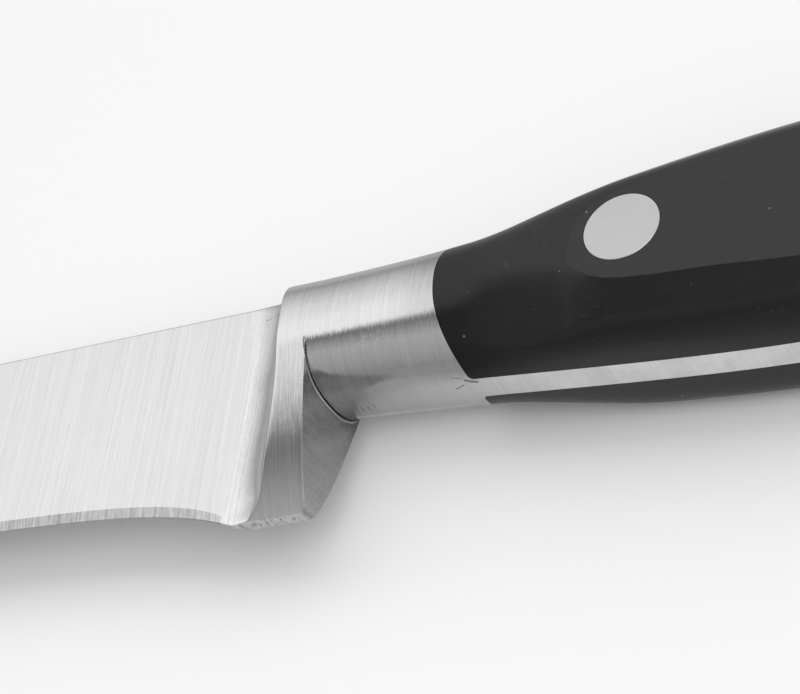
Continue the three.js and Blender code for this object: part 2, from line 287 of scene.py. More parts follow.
class StudioSettings(bpy.types.PropertyGroup):
    """Floor, light and flag of the studio"""
    floor: colour("Floor", "Pale paper floor", (0.96, 0.96, 0.96))
    # The flag cards are painted reflections: grey sheets that only the steel mirrors, standing in for darker
    # surroundings
    flag: number("Flag", "Grey of the card before the knife that only the steel mirrors", 0.62)
    flag_far: number("Flag far", "Grey of the card further off", 0.36)
    flag_end: number("Flag end", "Grey of the card by the grip, further off", 0.44)
    back_flag: number("Back flag", "Grey of the card behind the collar, again only for the steel", 0.55)
    back_start: length("Back start", "Near edge of the card behind the collar", 12)
    flag_start: length("Flag start", "Near edge of the card, in front of the knife", 3)
    flag_setback: length("Flag setback", "Middle of the card's fade in front of the scales", 4)
    flag_fade: length("Flag fade", "Length over which the card pales towards the scales", 16)
    softbox_power: number("Softbox power", "Watts of the lamp over the butt", 10.0, high=100.0)
    softbox_size: length("Softbox size", "Of the square lamp", 1500)
    softbox_distance: length("Softbox distance", "Of the lamp from the knife", 1400)


class KnifeSettings(bpy.types.PropertyGroup):
    """All sizes and finishes of the knife"""
    blade: bpy.props.PointerProperty(type=BladeSizes)
    bolster: bpy.props.PointerProperty(type=BolsterSizes)
    grip: bpy.props.PointerProperty(type=GripSizes)
    rivet: bpy.props.PointerProperty(type=RivetSizes)
    finish: bpy.props.PointerProperty(type=Finishes)
    studio: bpy.props.PointerProperty(type=StudioSettings)


def lerp(a, b, t):
    return a + (b - a) * t


def smoothstep(x, low, high):
    t = np.clip((x - low) / (high - low), 0.0, 1.0)
    return t * t * (3 - 2 * t)


def line_through(*places):
    """A smooth line through places of x and height, read as a height at any x."""
    xs, heights = np.array(places, float).T
    secants = np.diff(heights) / np.diff(xs)
    slopes = np.concatenate([secants[:1], (secants[1:] + secants[:-1]) / 2, secants[-1:]])

    def height(x):
        x = np.clip(x, xs[0], xs[-1])
        i = np.clip(np.searchsorted(xs, x, side="right") - 1, 0, len(xs) - 2)
        step = xs[i + 1] - xs[i]
        p = (x - xs[i]) / step
        keep = (1 + 2 * p) * (1 - p) ** 2
        return (
            keep * heights[i] + (1 - keep) * heights[i + 1]
            + step * p * (1 - p) * ((1 - p) * slopes[i] - p * slopes[i + 1])
        )

    return height


# Place along the grip and depth below the axis of the crease under the flat, in millimetres
CREASE = (
    (0, 0.2), (4.7, 0.3), (10, 1.2), (14, 3.9), (18, 4.7), (24, 5.1), (32, 5.85),
    (62, 6.3), (104, 8.5), (115, 8.5),
)


class KnifeShape:
    """The knife's surfaces. X runs from tip to butt, Y from edge to spine, Z to the left side."""

    def __init__(self, settings):
        self.blade = blade = settings.blade
        self.bolster = bolster = settings.bolster
        self.grip = grip = settings.grip
        self.rivet = rivet = settings.rivet
        self.heel = -bolster.collar_length
        self.band = self.heel - bolster.band_width
        self.tip = self.heel - blade.reach
        self.butt = grip.reach
        self.half_tang = grip.tang_thickness / 2
        self.half_grip = grip.thickness / 2
        half_swell = self.half_grip + grip.flat_grind
        self.back = line_through(
            (self.band, bolster.collar_height),
            (self.heel, bolster.collar_height),
            (0, grip.shoulder_height),
            (grip.ramp_reach, grip.ramp_height),
            (self.butt - grip.crown_setback, grip.crown_height),
            (self.butt - grip.butt_round, grip.back_end_height),
            (self.butt, grip.butt_height),
        )
        self.belly = line_through(
            (self.band, bolster.collar_depth),
            (self.heel, bolster.collar_depth),
            (0, grip.shoulder_depth),
            (grip.belly_reach, grip.belly_depth),
            (self.butt - grip.waist_setback, grip.waist_depth),
            (self.butt - grip.beak_setback, grip.beak_depth),
            (self.butt, grip.beak_depth),
        )
        self.side = line_through(
            (self.band, bolster.front_width / 2),
            (self.heel, bolster.front_width / 2),
            (0, bolster.rear_width / 2),
            (grip.swell_reach, half_swell),
            (self.butt, half_swell),
        )
        self.crease = line_through(*((x * MM, depth * MM) for x, depth in CREASE))
        low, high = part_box("front_rivet_socket")
        bottom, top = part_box("right_scale")[0].z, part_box("left_scale")[1].z
        self.place = np.array([
            (low.x + high.x) / 2 - rivet.front_reach,
            (low.y + high.y) / 2 - rivet.line_height,
            (bottom + top) / 2,
        ])

    def at(self, millimetres):
        """A place given in millimetres from the knife's own axes."""
        return Vector(self.place + np.array(millimetres) * MM)

    def butt_round(self, x, squareness):
        into = np.maximum(0.0, (x - self.butt) / self.grip.butt_round + 1)
        return np.maximum(0.0, 1 - into ** squareness) ** (1 / squareness)

    def half_width(self, x):
        return self.side(x) * self.butt_round(x, self.grip.squareness)

    def squareness(self, x, above):
        swell = smoothstep(x, 0.0, self.grip.swell_reach)
        crown = lerp(self.bolster.crown_squareness, self.grip.squareness, swell)
        flare = np.clip(x / self.heel, 0.0, 1.0)
        belly = lerp(self.bolster.rear_squareness, self.bolster.belly_squareness, flare)
        belly = lerp(belly, self.grip.squareness, swell)
        return np.where(above, crown, belly)

    def section(self, x, turn):
        """Height and half width of collar or grip, turning from the back round to the belly."""
        above = np.cos(turn) > 0
        power = 2 / self.squareness(x, above)
        fullness = self.butt_round(x, self.grip.butt_squareness)
        axis = -self.grip.butt_end_depth * (1 - fullness)
        reach = np.where(above, self.back(x), -self.belly(x)) * fullness
        y = axis + reach * np.abs(np.cos(turn)) ** power
        z = self.half_width(x) * np.abs(np.sin(turn)) ** power
        return y, z - self.drawn_in(x, (axis - y) / np.maximum(fullness, TINY), z)

    def drawn_in(self, x, depth, z):
        """How far the face below the flat lies inside the section."""
        grip = self.grip
        crease = self.crease(x)
        below = np.maximum(0.0, depth - crease)
        n = self.squareness(x, False)
        at_crease = self.half_width(x) * (1 - (crease / self.belly(x)) ** n) ** (1 / n)
        soft = grip.crease_soft * (1 - smoothstep(x, CREASE_SHARPENS * grip.crease_start, grip.crease_start))
        fall = grip.belly_lean * below ** 2 / np.maximum(below + soft, TINY)
        past = z - np.minimum(at_crease, self.half_grip) + fall
        ease = grip.belly_soft * np.clip(below / grip.crease_soft, TINY, 1)
        cut = np.where(past > ease, past, np.maximum(0.0, past + ease) ** 2 / (4 * ease))
        rounding = self.butt - grip.butt_round
        ends = smoothstep(x, rounding, rounding + BUTT_FADE * grip.butt_round)
        return cut * (below > 0) * smoothstep(x, 0.0, grip.lean_start) * (1 - ends)

    def turn_at(self, x, half, above):
        """The turn at which the section is as wide as half."""
        share = np.clip(half / self.half_width(x), 0.0, 1.0)
        turn = np.arcsin(share ** (self.squareness(x, above) / 2))
        return turn if above else math.pi - turn

    def forging_turns(self, x, corner):
        """The turn of each row. The strips at back and belly are as wide as the corner."""
        strip = np.arange(STRIP_ROWS) / STRIP_ROWS
        crown = np.arange(CROWN_ROWS) / CROWN_ROWS
        rounded = np.arange(ROUND_ROWS) / ROUND_ROWS
        side = np.arange(SIDE_ROWS + BEVEL_ROWS) / (SIDE_ROWS + BEVEL_ROWS)
        foot = 1 - np.arange(FOOT_ROWS + 1) / FOOT_ROWS
        x = np.broadcast_to(x, (LAST_ROW + 1,))
        level = self.bolster.shoulder_depth / self.bolster.collar_depth
        shoulder = np.arccos(-level ** (self.squareness(x, False) / 2))
        bottom = self.turn_at(x, corner, False)
        return np.concatenate([
            self.turn_at(x[:STRIP_ROWS], corner * strip, True),
            lerp(self.turn_at(x[STRIP_ROWS:CROWN_END], corner, True), QUARTER, crown),
            lerp(QUARTER, shoulder[CROWN_END:SHOULDER], rounded),
            lerp(shoulder[SHOULDER:BEVEL_END], bottom[SHOULDER:BEVEL_END], side),
            self.turn_at(x[BEVEL_END:], corner * foot, False),
        ])

    def ring_along(self, x_at, corner, turns):
        """A ring whose x follows its heights, as along the seat."""
        x = np.broadcast_to(x_at(np.zeros(1)), turns(0.0, corner).shape).copy()
        for _ in range(RING_PASSES):
            y, z = self.section(x, turns(x, corner))
            x = np.broadcast_to(x_at(y), y.shape).copy()
        return np.stack([x, y, z], axis=1)

    def seat(self, y):
        axis = self.grip.seat_radius - self.grip.seat_apex
        up = np.clip(y - self.grip.seat_axis_height, -self.grip.seat_radius, self.grip.seat_radius)
        return axis - np.sqrt(self.grip.seat_radius ** 2 - up ** 2)

    def tang_half(self, behind):
        """Half the tang's thickness, with a fillet where it meets the seat."""
        radius = self.grip.tang_fillet
        into = np.maximum(0.0, radius - behind)
        return self.half_tang + radius - math.sqrt(radius ** 2 - into ** 2)

    def bevel_share(self, forward):
        """How much of the edge bevel there is, forward of the foot."""
        return 1 - np.exp(-(forward + BEVEL_LEAD) / self.blade.bevel_runout)

    def blade_ring(self, x):
        """The blade's rows at the given x of each row."""
        blade, bolster = self.blade, self.bolster
        x = np.broadcast_to(x, (LAST_ROW + 1,))
        forward = np.maximum(0.0, self.heel - bolster.foot_length - x)
        drop = (bolster.heel_depth - blade.edge_depth) * np.exp(-forward / blade.recurve)
        edge_line = blade.edge_rise * forward / blade.reach - blade.edge_depth - drop
        from_tip = np.clip((x - self.tip) / blade.tip_sweep, 0.0, 1.0)
        tip_y = blade.spine_height - blade.tip_drop
        spine = lerp(tip_y, blade.spine_height, 1 - (1 - from_tip) ** 2)
        edge = lerp(tip_y, edge_line, np.sqrt(1 - (1 - from_tip) ** 2))
        runout = self.bevel_share(forward)
        shoulder = np.minimum(edge + blade.bevel_height * runout, (edge + spine) / 2)
        back = lerp(blade.tip_thickness, blade.spine_thickness, (x - self.tip) / blade.reach) / 2
        bevel = np.minimum(blade.bevel_thickness / 2, back)
        land = lerp(bevel, blade.edge_land / 2, runout ** 2)
        ease = np.minimum(blade.spine_ease, (spine - edge) * SPINE_EASE_SHARE)

        middle = lerp(spine, shoulder, BLADE_MIDDLE)
        rows = np.arange(LAST_ROW + 1)
        crown = np.clip((rows - STRIP_ROWS) / CROWN_ROWS, 0, 1)
        rounded = np.clip((rows - CROWN_END) / ROUND_ROWS, 0, 1)
        side = np.clip((rows - SHOULDER) / SIDE_ROWS, 0, 1)
        bevelled = np.clip((rows - SIDE_END) / BEVEL_ROWS, 0, 1)
        foot = np.clip((rows - BEVEL_END) / FOOT_ROWS, 0, 1)
        y = lerp(spine, middle, self.crown_fall(crown))
        y = lerp(y, lerp(middle, shoulder, BLADE_SHOULDER), rounded)
        y = lerp(y, shoulder, side)
        y = lerp(y, edge, bevelled)
        under = SPINE_UNDER + SPINE_ROW_GAP * (rows - STRIP_ROWS - 1)
        y = np.where(rows > STRIP_ROWS, np.minimum(y, spine - under * ease), y)
        z = lerp(bevel, back, (y - shoulder) / np.maximum(spine - shoulder, TINY))
        z = np.where(rows > SIDE_END, lerp(bevel, land, bevelled), z) * (1 - foot)
        z = np.where(rows < STRIP_ROWS, (back - ease) * rows / (STRIP_ROWS - 1), z)
        corner = rows == STRIP_ROWS
        y = np.where(corner, spine - SPINE_CORNER * ease, y)
        z = np.where(corner, back - SPINE_CORNER * ease, z)
        return np.stack([x, y, z], axis=1)

    def crown_fall(self, share):
        """How far a crown row has come down, from 0 at the corner to 1 at the widest place."""
        power = 2 / self.bolster.crown_squareness
        start = self.turn_at(self.heel, self.half_tang + self.grip.tang_fillet, True)
        fall = np.cos(lerp(start, QUARTER, share)) / math.cos(start)
        return 1 - np.maximum(fall, 0.0) ** power

    def collar_ring(self, share):
        """From the heel, 0, to the seat of the scales, 1."""
        corner = self.half_tang + self.grip.tang_fillet
        x_at = lambda y: lerp(self.heel, self.seat(y), share)
        return self.ring_along(x_at, corner, self.forging_turns)

    def band_half(self, y):
        """Half the width of band and heel below the axis."""
        bolster = self.bolster
        depth = np.clip(-y, 0.0, bolster.shoulder_depth)
        level = 1 - (depth / bolster.collar_depth) ** bolster.belly_squareness
        shoulder = bolster.front_width / 2 * level ** (1 / bolster.belly_squareness)
        reach = bolster.heel_depth - bolster.shoulder_depth
        below = np.clip(-y - bolster.shoulder_depth, 0.0, reach)
        drawn_in = shoulder - bolster.heel_draft * reach - bolster.foot_width / 2
        return shoulder - bolster.heel_draft * below - drawn_in * (below / reach) ** bolster.heel_taper

    def band_heights(self):
        heights = self.collar_ring(0.0)[:, 1].copy()
        foot = -self.bolster.heel_depth
        shoulder = foot + self.blade.bevel_height * self.bevel_share(0.0)
        side = np.arange(SIDE_ROWS + 1) / SIDE_ROWS
        bevelled = np.arange(BEVEL_ROWS + 1) / BEVEL_ROWS
        heights[SHOULDER:SIDE_END + 1] = lerp(heights[SHOULDER], shoulder, side)
        heights[SIDE_END:BEVEL_END + 1] = lerp(shoulder, foot, bevelled)
        heights[BEVEL_END:] = foot
        return heights

    def band_front(self, y):
        bolster = self.bolster
        down = (y + bolster.sweep_depth) / (bolster.sweep_depth - bolster.heel_depth)
        up = (y + bolster.crown_sweep_depth) / (bolster.collar_height + bolster.crown_sweep_depth)
        toe = np.clip(1 - (y + bolster.heel_depth) / bolster.toe_depth, 0.0, 1.0)
        foot = bolster.sweep_length * np.maximum(0.0, down) ** bolster.sweep
        foot = foot + bolster.toe_length * toe ** bolster.sweep
        crown = bolster.crown_sweep_length * np.maximum(0.0, up) ** 2
        return self.band - foot - crown

    def band_ring(self, across):
        """Band and heel, from front, 0, to back, 1. The foot's rear corner is lifted."""
        bolster = self.bolster
        heights = self.band_heights()
        front = self.band_front(heights)
        foot_x = lerp(self.band_front(-bolster.heel_depth), self.heel, across)
        into = np.maximum(0.0, foot_x - self.heel + bolster.heel_corner)
        lift = bolster.heel_corner - np.sqrt(np.maximum(0.0, bolster.heel_corner ** 2 - into ** 2))
        y = heights + lift * smoothstep(-heights, bolster.collar_depth, bolster.heel_depth)
        z = self.collar_ring(0.0)[:, 2].copy()
        z[SHOULDER + 1:] = self.band_half(y[SHOULDER + 1:])
        z[BEVEL_END:] *= 1 - np.arange(FOOT_ROWS + 1) / FOOT_ROWS
        return np.stack([lerp(front, self.heel, across), y, z], axis=1)

    def fillet_step(self, heights):
        """How far the band stands out from the blade, as a share of its widest place."""
        blade, bolster = self.blade, self.bolster

        def step(y):
            up = np.clip((y + bolster.heel_depth) / (blade.spine_height + bolster.heel_depth), 0, 1)
            return self.band_half(y) - lerp(blade.bevel_thickness, blade.spine_thickness, up) / 2

        return np.where(heights > 0, 1.0, np.clip(step(heights) / step(0.0), 0.0, 1.0))


def outward(ring):
    """Outward directions in Y and Z along the rows of one side."""
    along = np.gradient(ring[:, 1:], axis=0)
    normal = np.stack([along[:, 1], -along[:, 0]], axis=1)
    normal /= np.maximum(np.linalg.norm(normal, axis=1, keepdims=True), TINY)
    normal[0] = (1, 0)
    normal[-1] = (-1, 0)
    return normal


def moved(ring, x, offset):
    """The ring with a new x, moved across by offset in Y and Z."""
    ring = ring.copy()
    ring[:, 0] = x
    ring[:, 1:] += offset
    return ring


def forging_rings(shape):
    """All rings of the forging from tip to butt, each with the name of its zone."""
    blade, bolster, grip = shape.blade, shape.bolster, shape.grip
    rings = []

    # Blade: straight stations first, then bending to follow the fillet's front
    heights = shape.band_heights()
    front = shape.band_front(heights)
    reach = bolster.fillet_reach * shape.fillet_step(heights) ** bolster.fillet_hold
    bend = shape.fillet_step(heights) ** bolster.fillet_bend
    start = front - reach
    straight = start.min() - RUN_LENGTH
    for share in np.linspace(0, 1, BLADE_STATIONS):
        crowded = share - BLADE_CROWDING * math.sin(4 * QUARTER * share) / (4 * QUARTER)
        x = lerp(shape.tip + blade.tip_land, straight, crowded)
        rings.append(("blade", shape.blade_ring(x)))
    for share in np.linspace(0, 1, RUN_STATIONS)[1:]:
        rings.append(("blade", shape.blade_ring(lerp(straight, start, share))))

    # Fillet up to the band's eased front edge
    band = shape.band_ring(0.0)
    normal = outward(band)
    step = np.linalg.norm(band[:, 1:] - rings[-1][1][:, 1:], axis=1)
    ease = np.minimum(bolster.band_ease, BAND_EASE_SHARE * step)
    target = band[:, 1:] - normal * ease[:, None]
    for turn in np.linspace(0, QUARTER, FILLET_STATIONS)[1:]:
        share = math.sin(turn)
        flare = (1 - np.sqrt(1 - (bend * share) ** 2)) / (1 - np.sqrt(1 - bend ** 2))
        ring = shape.blade_ring(start + reach * share)
        ring[:, 1:] = lerp(ring[:, 1:], target, flare[:, None])
        rings.append(("fillet", ring))
    for turn in np.linspace(0, QUARTER, EASE_STATIONS)[1:]:
        inset = ease * (1 - math.sin(turn))
        x = front + ease * (1 - math.cos(turn))
        rings.append(("band", moved(band, x, -normal * inset[:, None])))

    # Band to the heel's eased rear edge
    collar = shape.collar_ring(0.0)
    rear = shape.band_ring(1.0)
    rear_normal = outward(rear)
    gap = np.linalg.norm(rear[:, 1:] - collar[:, 1:], axis=1)
    rear_ease = np.minimum(bolster.heel_ease, HEEL_EASE_SHARE * gap) * np.abs(rear_normal[:, 1])
    first = ease / (shape.heel - front)
    last = 1 - rear_ease / (shape.heel - front)
    for turn in np.linspace(0, QUARTER, BAND_STATIONS)[1:]:
        across = lerp(first, last, math.sin(turn))
        rings.append(("band", shape.band_ring(across)))
    for turn in np.linspace(0, QUARTER, EASE_STATIONS)[1:]:
        inset = rear_ease * (1 - math.cos(turn))
        x = shape.heel - rear_ease * (1 - math.sin(turn))
        rings.append(("band", moved(rear, x, -rear_normal * inset[:, None])))

    # Back of the heel in to the groove round the collar
    outer = rings[-1][1]
    collar_normal = outward(collar)
    width = np.minimum(bolster.groove_width, GROOVE_SHARE * gap)
    depth = np.minimum(bolster.groove_depth, width)
    lip = moved(collar, shape.heel, collar_normal * width[:, None])
    for share in np.linspace(0, 1, WALL_STATIONS)[1:]:
        rings.append(("wall" if share < NOOK_SHARE else "nook", lerp(outer, lip, share)))
    rise = bolster.lip * smoothstep(gap, *LIP_GAP)
    for out, up in LIP_PROFILE:
        offset = collar_normal * (out * width)[:, None]
        rings.append(("lip", moved(collar, shape.heel + up * rise, offset)))
    for out, into in GROOVE_PROFILE:
        offset = collar_normal * (out * width)[:, None]
        rings.append(("groove", moved(collar, shape.heel - into * depth, offset)))

    # Collar back to the round seat of the scales
    for share in np.linspace(0, 1, COLLAR_STATIONS):
        rings.append(("collar", shape.collar_ring(share ** COLLAR_CROWDING)))
    seat = rings[-1][1].copy()
    seat[:, 2] = np.minimum(seat[:, 2], shape.tang_half(0.0))
    rings.append(("seat", seat))

    # Tang with its fillet at the seat, out to the butt
    fillet = grip.tang_fillet

    def tang(x_at, half):
        ring = shape.ring_along(x_at, half, shape.forging_turns)
        ring[:, 2] = np.minimum(ring[:, 2], half)
        rings.append(("tang", ring))

    for behind in TANG_FILLET_PROFILE:
        tang(lambda y: shape.seat(y) + behind * fillet, shape.tang_half(behind * fillet))
    for share in np.linspace(0, 1, TANG_STATIONS)[1:]:
        tang(lambda y: lerp(shape.seat(y) + fillet, TANG_SETTLED, share), shape.half_tang)
    for x in grip_stations(shape, TANG_SETTLED):
        tang(lambda y: np.full_like(y, x), shape.half_tang)
    return rings


def grip_stations(shape, start):
    """Places along the grip behind start, close together round the butt."""
    rounding = shape.butt - shape.grip.butt_round
    along = np.linspace(start, rounding, GRIP_STATIONS)[1:]
    turns = np.linspace(0, BUTT_TURN * QUARTER, BUTT_STATIONS)[1:]
    return np.concatenate([along, rounding + shape.grip.butt_round * np.sin(turns)])


def welded(points, faces):
    """Points that coincide become one, and faces that this closes up are dropped."""
    keys = np.round(np.asarray(points) / WELD).astype(np.int64)
    _, first, same = np.unique(keys, axis=0, return_index=True, return_inverse=True)
    same = same.reshape(-1)
    kept = []
    for face in faces:
        corners = [int(same[i]) for i in face]
        corners = [c for i, c in enumerate(corners) if c != corners[i - 1]]
        if len(set(corners)) > 2 and len(set(corners)) == len(corners):
            kept.append(corners)
    return np.asarray(points)[first], kept, same


def mesh_object(name, points, faces):
    mesh = bpy.data.meshes.new(name)
    mesh.from_pydata([tuple(p) for p in points], [], faces)
    mesh.validate()
    mesh.shade_smooth()
    piece = bpy.data.objects.new(name, mesh)
    bpy.context.scene.collection.objects.link(piece)
    return piece


def facing_out(mesh):
    """All faces turned outwards."""
    work = bmesh.new()
    work.from_mesh(mesh)
    bmesh.ops.recalc_face_normals(work, faces=work.faces)
    work.to_mesh(mesh)
    work.free()


def sharpened(mesh, limit, also=None):
    """Edges above the limit stay crisp, and so do those that the extra test names."""
    work = bmesh.new()
    work.from_mesh(mesh)
    for edge in work.edges:
        if len(edge.link_faces) != 2:
            continue
        angle = edge.calc_face_angle(0.0)
        edge.smooth = not (angle > limit or (also is not None and also(edge, angle)))
    work.to_mesh(mesh)
    work.free()


def bored(piece, shape, diameters_and_spans):
    """Cuts the rivet bores: for each, a diameter and its lowest and highest Z from the axis."""
    rivet = shape.rivet
    work = bmesh.new()
    for x in rivet_row(shape):
        for diameter, low, high in diameters_and_spans:
            centre = shape.place + np.array([x, rivet.line_height, (low + high) / 2])
            bmesh.ops.create_cone(
                work, cap_ends=True, segments=CIRCLE_POINTS, depth=high - low,
                radius1=diameter / 2, radius2=diameter / 2,
                matrix=Matrix.Translation(Vector(centre)),
            )
    mesh = bpy.data.meshes.new("rivet_bores")
    work.to_mesh(mesh)
    work.free()
    cutter = bpy.data.objects.new("rivet_bores", mesh)
    bpy.context.scene.collection.objects.link(cutter)
    cut = piece.modifiers.new("rivet_bores", "BOOLEAN")
    cut.operation = "DIFFERENCE"
    cut.solver = "EXACT"
    cut.use_self = True
    cut.object = cutter
    bpy.context.view_layer.update()
    evaluated = piece.evaluated_get(bpy.context.evaluated_depsgraph_get())
    result = bpy.data.meshes.new_from_object(evaluated)
    piece.modifiers.remove(cut)
    bpy.data.objects.remove(cutter)
    if len(result.polygons) <= len(piece.data.polygons):
        raise RuntimeError(f"the rivet bores did not cut {piece.name}")
    result.name = piece.name
    piece.data = result


def rivet_row(shape):
    rear = shape.butt - shape.rivet.rear_setback
    return np.linspace(shape.rivet.front_reach, rear, shape.rivet.count)


def finished(piece, body, nodes, material):
    """Gives a piece its material and its place in the frame."""
    piece.data.materials.clear()
    piece.data.materials.append(material)
    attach(piece, body)
    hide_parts(*nodes)
    return piece


# Full core of a stroke, as a share of its width
STROKE_CORE = 0.4
BUMP_STRENGTH = 0.5


class Bench:
    """Puts nodes into one tree and joins them."""

    def __init__(self, tree):
        self.tree = tree

    def node(self, kind, inputs=(), **options):
        node = self.tree.nodes.new(kind)
        for name, value in options.items():
            setattr(node, name, value)
        for key, value in dict(inputs).items():
            self.feed(node.inputs[key], value)
        return node

    def feed(self, socket, value):
        if isinstance(value, bpy.types.NodeSocket):
            self.tree.links.new(value, socket)
        else:
            socket.default_value = value

    def math(self, operation, *values):
        return self.node("ShaderNodeMath", enumerate(values), operation=operation).outputs[0]

    def vector(self, operation, *values):
        return self.node("ShaderNodeVectorMath", enumerate(values), operation=operation).outputs[0]

    def noise(self, place, scale, detail, roughness=0.5):
        """Noise around zero, stretched by a scale for each axis."""
        inputs = {
            "Vector": self.vector("MULTIPLY", place, scale),
            "Scale": 1.0, "Detail": detail, "Roughness": roughness,
        }
        noise = self.node("ShaderNodeTexNoise", inputs, noise_dimensions="3D")
        return self.math("SUBTRACT", noise.outputs[0], 0.5)

    def turned(self, place, turn):
        mapping = self.node("ShaderNodeMapping", {"Vector": place, "Rotation": turn})
        return mapping.outputs[0]

    def rise(self, value, low, high, bottom=0.0, top=1.0):
        """A smooth rise from bottom to top while the value goes from low to high."""
        inputs = {"Value": value, "From Min": low, "From Max": high, "To Min": bottom, "To Max": top}
        step = self.node("ShaderNodeMapRange", inputs, interpolation_type="SMOOTHSTEP")
        return step.outputs[0]

    def blend(self, share, first, second):
        node = self.node("ShaderNodeMix", {0: share, 4: first, 5: second}, data_type="VECTOR")
        return node.outputs[1]

    def across(self, value, origin, span):
        """A smooth rise between two places, in millimetres from an origin."""
        return self.rise(value, *(float(origin + at * MM) for at in span))

    def near(self, place, centre, size, full):
        """1 close to a place, falling to 0 at the size in millimetres."""
        spot = self.vector("DIVIDE", self.vector("SUBTRACT", place, centre), [s * MM for s in size])
        away = self.node("ShaderNodeVectorMath", {0: spot}, operation="LENGTH").outputs["Value"]
        return self.rise(away, 1.0, full)

    def specks(self, place, scale, size, limit):
        """Dots in those cells of a scatter whose chance is above the limit."""
        cells = self.node("ShaderNodeTexVoronoi", {"Vector": place, "Scale": scale, "Randomness": 1.0})
        chance = self.node("ShaderNodeSeparateColor", {0: cells.outputs["Color"]}).outputs[0]
        dot = self.rise(cells.outputs["Distance"], *size)
        return self.math("MULTIPLY", dot, self.math("GREATER_THAN", chance, limit))

    def grain(self, place, patterns):
        """Noise for each named pattern of scale, detail and roughness."""
        return {name: self.noise(place, *pattern) for name, pattern in patterns.items()}

    def weigh(self, marks, weights):
        """The sum of the marks that have a weight, each times it."""
        total = 0.0
        for name, weight in weights.items():
            total = self.math("MULTIPLY_ADD", marks[name], weight, total)
        return total

    def mark(self, name):
        return self.node("ShaderNodeAttribute", attribute_name=name).outputs["Fac"]

    def stroke(self, place, start, end, width):
        """1 along a short line between two places, falling to 0 at its width."""
        along = Vector(end) - Vector(start)
        out = self.vector("SUBTRACT", place, start)
        dot = self.node("ShaderNodeVectorMath", {0: out, 1: along}, operation="DOT_PRODUCT")
        share = self.math("DIVIDE", dot.outputs["Value"], along.length_squared)
        share.node.use_clamp = True
        nearest = self.vector("SCALE", along)
        self.feed(nearest.node.inputs["Scale"], share)
        away = self.node("ShaderNodeVectorMath", {0: out, 1: nearest}, operation="DISTANCE")
        return self.rise(away.outputs["Value"], width, STROKE_CORE * width)


def new_material(name):
    """A material with its shader, its bench and its Object coordinates."""
    material = bpy.data.materials.new(name)
    material.use_nodes = True
    bench = Bench(material.node_tree)
    shader = material.node_tree.nodes["Principled BSDF"]
    place = bench.node("ShaderNodeTexCoord").outputs["Object"]
    return material, shader, bench, place


def clad(bench, shader, tone, grey, rough, roughness):
    """Gives the shader its grey, varied by a tone, and its roughness."""
    bench.feed(shader.inputs["Base Color"], bench.math("MULTIPLY", tone, grey))
    bench.feed(shader.inputs["Roughness"], bench.math("ADD", rough, roughness))


def embossed(bench, shader, height, depth, **inputs):
    """Gives the shader bumps of the given depth."""
    bump = bench.node("ShaderNodeBump", {
        "Strength": BUMP_STRENGTH, "Distance": depth, "Height": height, **inputs,
    })
    bench.feed(shader.inputs["Normal"], bump.outputs[0])


# Dings in the steel by the scales, under the collar and in the fillet: start, end and width, in millimetres
DINGS = (
    ((-0.69, -7.36, 1.39), (-0.21, -7.43, 1.13), 0.16),
    ((-0.21, -7.43, 1.13), (0.33, -7.48, 1.03), 0.2),
    ((-2.06, -7.34, 0.31), (-1.09, -7.40, 0.76), 0.07),
    ((-1.85, -7.20, 1.87), (-0.91, -7.32, 1.56), 0.04),
    ((-13.2, -6.52, -0.75), (-13.25, -6.44, -1.55), 0.07),
    ((-12.6, -6.55, -0.85), (-12.65, -6.45, -1.75), 0.07),
    ((-11.9, -6.60, -0.85), (-11.95, -6.48, -1.75), 0.08),
    ((-11.2, -6.64, -0.65), (-11.25, -6.55, -1.45), 0.07),
    ((-23.51, 3.97, 1.44), (-21.86, 4.12, 1.89), 0.05),
)
# Scuff on the collar, and fine scratches: place and size in millimetres, lie, and noise with its limits
SCUFF_PLACE = (-8.3, -4.0, 5.6)
SCUFF_SIZE = (2.6, 1.1, 1.1)
SCUFF_CORE = 0.1
SCUFF_TURN = (0.9, 0, 0.5)
SCUFF_GRAIN = ((700, 3400, 3400), 3, 0.6)
SCUFF_LIMITS = (-0.05, 0.2)
SCRATCH_TURN = (0.1, 0.1, 0.5)
SCRATCH_GRAIN = ((6000, 420, 420), 2)
SCRATCH_LIMITS = (0.22, 0.26)
PIT_LIMITS = (0.02, 0.1)
# Grinding lines across the knife and down the back of the heel, and the broad bands among them
SIDE_GRIND = (5200, 60, 60)
WALL_GRIND = (60, 3000, 110)
GRIND_DETAIL = (4, 0.66)
BAND_SPREAD = (0.12, 0.25, 0.25)
BAND_DETAIL = 2
# Noise in the steel's finish: scale along each axis, detail and roughness
STEEL_GRAIN = {
    "patches": ((90, 90, 90), 3),
    "blotches": ((420, 420, 420), 4, 0.6),
    "grit": ((2600, 1500, 1500), 3, 0.6),
    "pits": ((3600, 1100, 1100), 3, 0.6),
    "ragged": ((14000, 500, 500), 3, 0.6),
}
# Spans in millimetres from the grip's front or axis
HANDLED_SPAN = (-8, -2)
HANDLED_HEIGHT = (-5, -2)
TANG_SPAN = (-2, 8)
